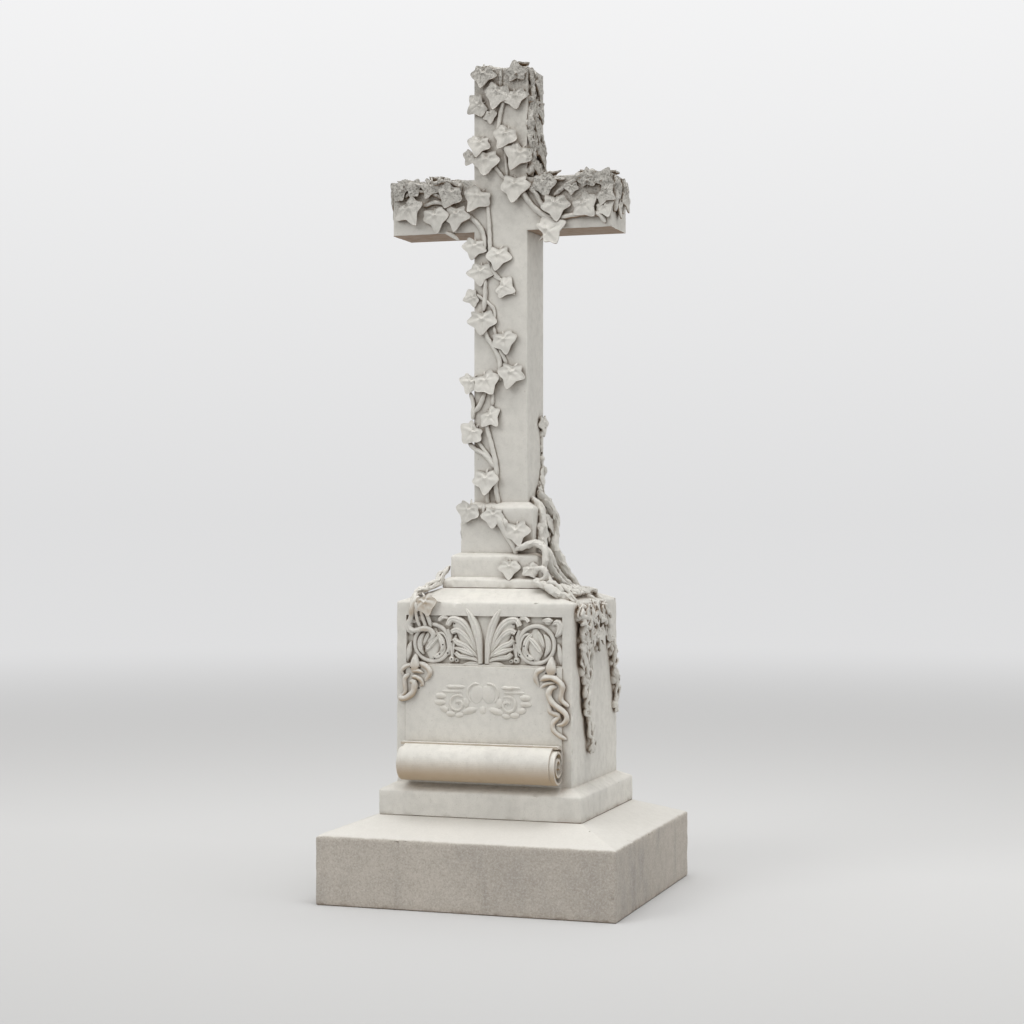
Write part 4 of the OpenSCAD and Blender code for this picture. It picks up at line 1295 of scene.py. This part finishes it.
class GRAVESTONE_OT_cross(bpy.types.Operator):
    """Carves the cross with its steps, socket and ivy"""

    bl_idname = "gravestone.cross"
    bl_label = "Cross"

    def execute(self, context):
        sizes, ivy, colours = settings(context)
        carver = Carver(ivy.seed + 2, ivy)
        wear = sizes.wear / MM
        shaft_w, shaft_t, span = sizes.shaft_w / MM, sizes.shaft_t / MM, sizes.arm_span / MM
        low_w, up_w, socket_w = 306.0, 268.0, 222.0
        up_z = CROSS_Z + 32.0
        socket_z = up_z + 70.0
        shaft_z = socket_z + 147.0
        arm_z = shaft_z + 785.0
        head_z = arm_z + 155.0
        top_z = head_z + 321.0
        # Foot, width, upright height and slope of each block, then its width and depth on top
        for z, w, h, rise, top_w, top_d in (
            (CROSS_Z, low_w, 24.0, 8.0, up_w, up_w),
            (up_z, up_w, 60.0, 10.0, socket_w + 4, socket_w + 4),
            (socket_z, socket_w, 130.0, 17.0, shaft_w, shaft_t),
        ):
            foot = z if z == CROSS_Z else z - 6
            levels = shouldered(foot, w, w, h + z - foot, rise, top_w, top_d, wear, 12.0)
            carver.add(block(levels, 1.2 * wear, 12.0, wear), "block")
        outline = plus_outline(shaft_w, span, shaft_z - 6, arm_z, head_z, top_z, 8.0)
        carver.add(cross_body(outline, shaft_t, wear, 9.0), "body")
        face = front_face(shaft_t)
        carver.leaves(face, HEAD_LEAVES, head_z)
        carver.leaves(face, ARM_LEAVES, arm_z)
        carver.leaves(face, SHAFT_LEAVES, shaft_z)
        leaning = Vector((0, 0.28, 0.96))
        under_arm = Face(Vector((0, -shaft_t / 2 - 2, arm_z)), X, leaning, X.cross(leaning))
        carver.leaves(under_arm, ((154, -10, 30, 46),))
        carver.stems(face, HEAD_STEMS, head_z)
        carver.stems(face, ARM_STEMS, arm_z)
        carver.stems(face, SHAFT_STEMS, shaft_z)
        carver.leaves(front_face(socket_w, socket_z), SOCKET_LEAVES)
        carver.stems(front_face(socket_w, socket_z), SOCKET_STEMS)
        carver.leaves(front_face(up_w, up_z), STEP_LEAVES)
        carver.leaves(right_face(shaft_w, head_z), HEAD_SIDE_LEAVES)
        carver.tangle(right_face(shaft_w, head_z), HEAD_SIDE_TANGLES)
        carver.tangle(face, ARM_EDGE_TANGLES, arm_z)
        for side in (right_face(span, arm_z), left_face(span, arm_z)):
            carver.stems(side, ARM_END_STEMS, gnarl=0.5)
        carver.leaves(right_face(shaft_w, shaft_z), SHAFT_SIDE_LEAVES)
        carver.tangle(right_face(shaft_w, shaft_z), SHAFT_SIDE_TANGLES)
        carver.leaves(right_face(socket_w, socket_z), SOCKET_SIDE_LEAVES)
        carver.leaves(right_face(span, arm_z), ARM_END_LEAVES)
        carver.leaves(left_face(span, arm_z), ARM_END_LEAVES)
        carver.leaves(left_face(socket_w, socket_z), SOCKET_LEFT_LEAVES)
        carver.leaves(top_face(top_z), HEAD_TOP_LEAVES)
        carver.leaves(top_face(head_z), ARM_TOP_LEAVES)
        carver.roots(Vector((low_w / 2, -low_w / 2, CROSS_Z)), CORNER_ROOTS + CORNER_LOOPS[:1])
        carver.roots(Vector((-low_w / 2, -low_w / 2, CROSS_Z)), LEFT_VINE)
        finished(carver.stone(), "Cross", "cross", cross_marble(colours))
        return {"FINISHED"}


# Pale grey where the floor fades into the backdrop
HORIZON = (0.735, 0.735, 0.74, 1)


class GRAVESTONE_OT_stage(bpy.types.Operator):
    """Sets the floor, the soft lights and the camera"""

    bl_idname = "gravestone.stage"
    bl_label = "Stage"

    def execute(self, context):
        scene = context.scene
        scene.view_settings.view_transform = "Standard"
        self.floor()
        self.world(scene)
        self.lamp("Key", (-3.6, -5.8, 5.5), 4.0, 165)
        self.lamp("Sky", (0.5, -0.5, 7.0), 5.0, 285)
        self.lamp("Fill", (6.5, -1.5, 2.6), 4.0, 48)
        camera = bpy.data.cameras.new("Camera")
        camera.sensor_width = 36.0
        camera.lens = 74.2
        camera.shift_y = 0.0032
        holder = bpy.data.objects.new("Camera", camera)
        holder.location = (1.968, -5.885, 1.100)
        holder.rotation_euler = (math.radians(90), 0, math.radians(18.41))
        scene.collection.objects.link(holder)
        scene.camera = holder
        return {"FINISHED"}

    def lamp(self, name, location, size, power):
        """Round soft light aimed at the middle of the cross."""
        light = bpy.data.lights.new(name, "AREA")
        light.shape = "DISK"
        light.size = size
        light.energy = power
        holder = bpy.data.objects.new(name, light)
        holder.location = location
        aim = Vector((0, 0, 1.1)) - Vector(location)
        holder.rotation_euler = aim.to_track_quat("-Z", "Y").to_euler()
        bpy.context.scene.collection.objects.link(holder)

    def world(self, scene):
        """Even light all round, and a backdrop that pales upwards for the camera."""
        world = bpy.data.worlds.new("Studio")
        world.use_nodes = True
        scene.world = world
        nodes, links = world.node_tree.nodes, world.node_tree.links
        light = nodes["Background"]
        light.inputs["Color"].default_value = (1.0, 0.99, 0.97, 1)
        light.inputs["Strength"].default_value = 0.68
        seen = nodes.new("ShaderNodeBackground")
        ray = nodes.new("ShaderNodeLightPath")
        mix = nodes.new("ShaderNodeMixShader")
        direction = nodes.new("ShaderNodeTexCoord")
        split = nodes.new("ShaderNodeSeparateXYZ")
        fade = nodes.new("ShaderNodeMapRange")
        fade.inputs["From Min"].default_value = 0.0
        fade.inputs["From Max"].default_value = 0.24
        tone = nodes.new("ShaderNodeMix")
        tone.data_type = "RGBA"
        socket_named(tone.inputs, "A_Color").default_value = HORIZON
        socket_named(tone.inputs, "B_Color").default_value = (0.90, 0.90, 0.905, 1)
        links.new(direction.outputs["Generated"], split.inputs["Vector"])
        links.new(split.outputs["Z"], fade.inputs["Value"])
        links.new(fade.outputs["Result"], tone.inputs["Factor"])
        links.new(socket_named(tone.outputs, "Result_Color"), seen.inputs["Color"])
        links.new(ray.outputs["Is Camera Ray"], mix.inputs["Fac"])
        links.new(light.outputs["Background"], mix.inputs[1])
        links.new(seen.outputs["Background"], mix.inputs[2])
        links.new(mix.outputs["Shader"], nodes["World Output"].inputs["Surface"])

    def floor(self):
        """Plain floor, a little paler further back, fading into the backdrop."""
        sides, radius = 96, 60.0
        mesh = bpy.data.meshes.new("Floor")
        rim = [(*circle_point(radius, 360 * k / sides), 0) for k in range(sides)]
        mesh.from_pydata(rim, [], [tuple(range(sides))])
        floor = bpy.data.objects.new("Floor", mesh)
        bpy.context.scene.collection.objects.link(floor)
        material = bpy.data.materials.new("studio_floor")
        material.use_nodes = True
        nodes, links = material.node_tree.nodes, material.node_tree.links
        surface = nodes["Principled BSDF"]
        surface.inputs["Roughness"].default_value = 0.9
        surface.inputs["Specular IOR Level"].default_value = 0.0
        depth = nodes.new("ShaderNodeSeparateXYZ")
        graded = nodes.new("ShaderNodeMapRange")
        for name, number in (("From Min", -2.6), ("From Max", 0.6), ("To Min", 0.44), ("To Max", 0.575)):
            graded.inputs[name].default_value = number
        far = nodes.new("ShaderNodeEmission")
        far.inputs["Color"].default_value = HORIZON
        place = nodes.new("ShaderNodeTexCoord")
        length = nodes.new("ShaderNodeVectorMath")
        length.operation = "LENGTH"
        fade = nodes.new("ShaderNodeMapRange")
        fade.interpolation_type = "SMOOTHSTEP"
        fade.inputs["From Min"].default_value = 2.0
        fade.inputs["From Max"].default_value = 12.0
        ray = nodes.new("ShaderNodeLightPath")
        both = nodes.new("ShaderNodeMath")
        both.operation = "MULTIPLY"
        mix = nodes.new("ShaderNodeMixShader")
        links.new(place.outputs["Object"], length.inputs[0])
        links.new(place.outputs["Object"], depth.inputs["Vector"])
        links.new(depth.outputs["Y"], graded.inputs["Value"])
        links.new(graded.outputs["Result"], surface.inputs["Base Color"])
        links.new(length.outputs["Value"], fade.inputs["Value"])
        links.new(fade.outputs["Result"], both.inputs[0])
        links.new(ray.outputs["Is Camera Ray"], both.inputs[1])
        links.new(both.outputs["Value"], mix.inputs["Fac"])
        links.new(surface.outputs["BSDF"], mix.inputs[1])
        links.new(far.outputs["Emission"], mix.inputs[2])
        links.new(mix.outputs["Shader"], nodes["Material Output"].inputs["Surface"])
        mesh.materials.append(material)


class GRAVESTONE_PT_panel(bpy.types.Panel):
    """Lists the stones and the stage"""

    bl_idname = "GRAVESTONE_PT_panel"
    bl_label = "Gravestone"
    bl_space_type = "VIEW_3D"
    bl_region_type = "UI"
    bl_category = "Gravestone"

    def draw(self, context):
        for operator in OPERATORS:
            self.layout.operator(operator.bl_idname)
        for group in settings(context):
            box = self.layout.box()
            for name in group.__annotations__:
                box.prop(group, name)


OPERATORS = (GRAVESTONE_OT_stage, GRAVESTONE_OT_base_slab, GRAVESTONE_OT_pedestal, GRAVESTONE_OT_cross)
CLASSES = (StoneSizes, IvySizes, MarbleColours) + OPERATORS + (GRAVESTONE_PT_panel,)


def register():
    for cls in CLASSES:
        bpy.utils.register_class(cls)
    bpy.types.Scene.gravestone_sizes = PointerProperty(type=StoneSizes)
    bpy.types.Scene.gravestone_ivy = PointerProperty(type=IvySizes)
    bpy.types.Scene.gravestone_colours = PointerProperty(type=MarbleColours)


def unregister():
    del bpy.types.Scene.gravestone_colours
    del bpy.types.Scene.gravestone_ivy
    del bpy.types.Scene.gravestone_sizes
    for cls in reversed(CLASSES):
        bpy.utils.unregister_class(cls)


def main():
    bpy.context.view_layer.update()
    register()
    bpy.ops.gravestone.stage()
    bpy.ops.gravestone.base_slab()
    bpy.ops.gravestone.pedestal()
    bpy.ops.gravestone.cross()


if __name__ == "__main__":
    main()
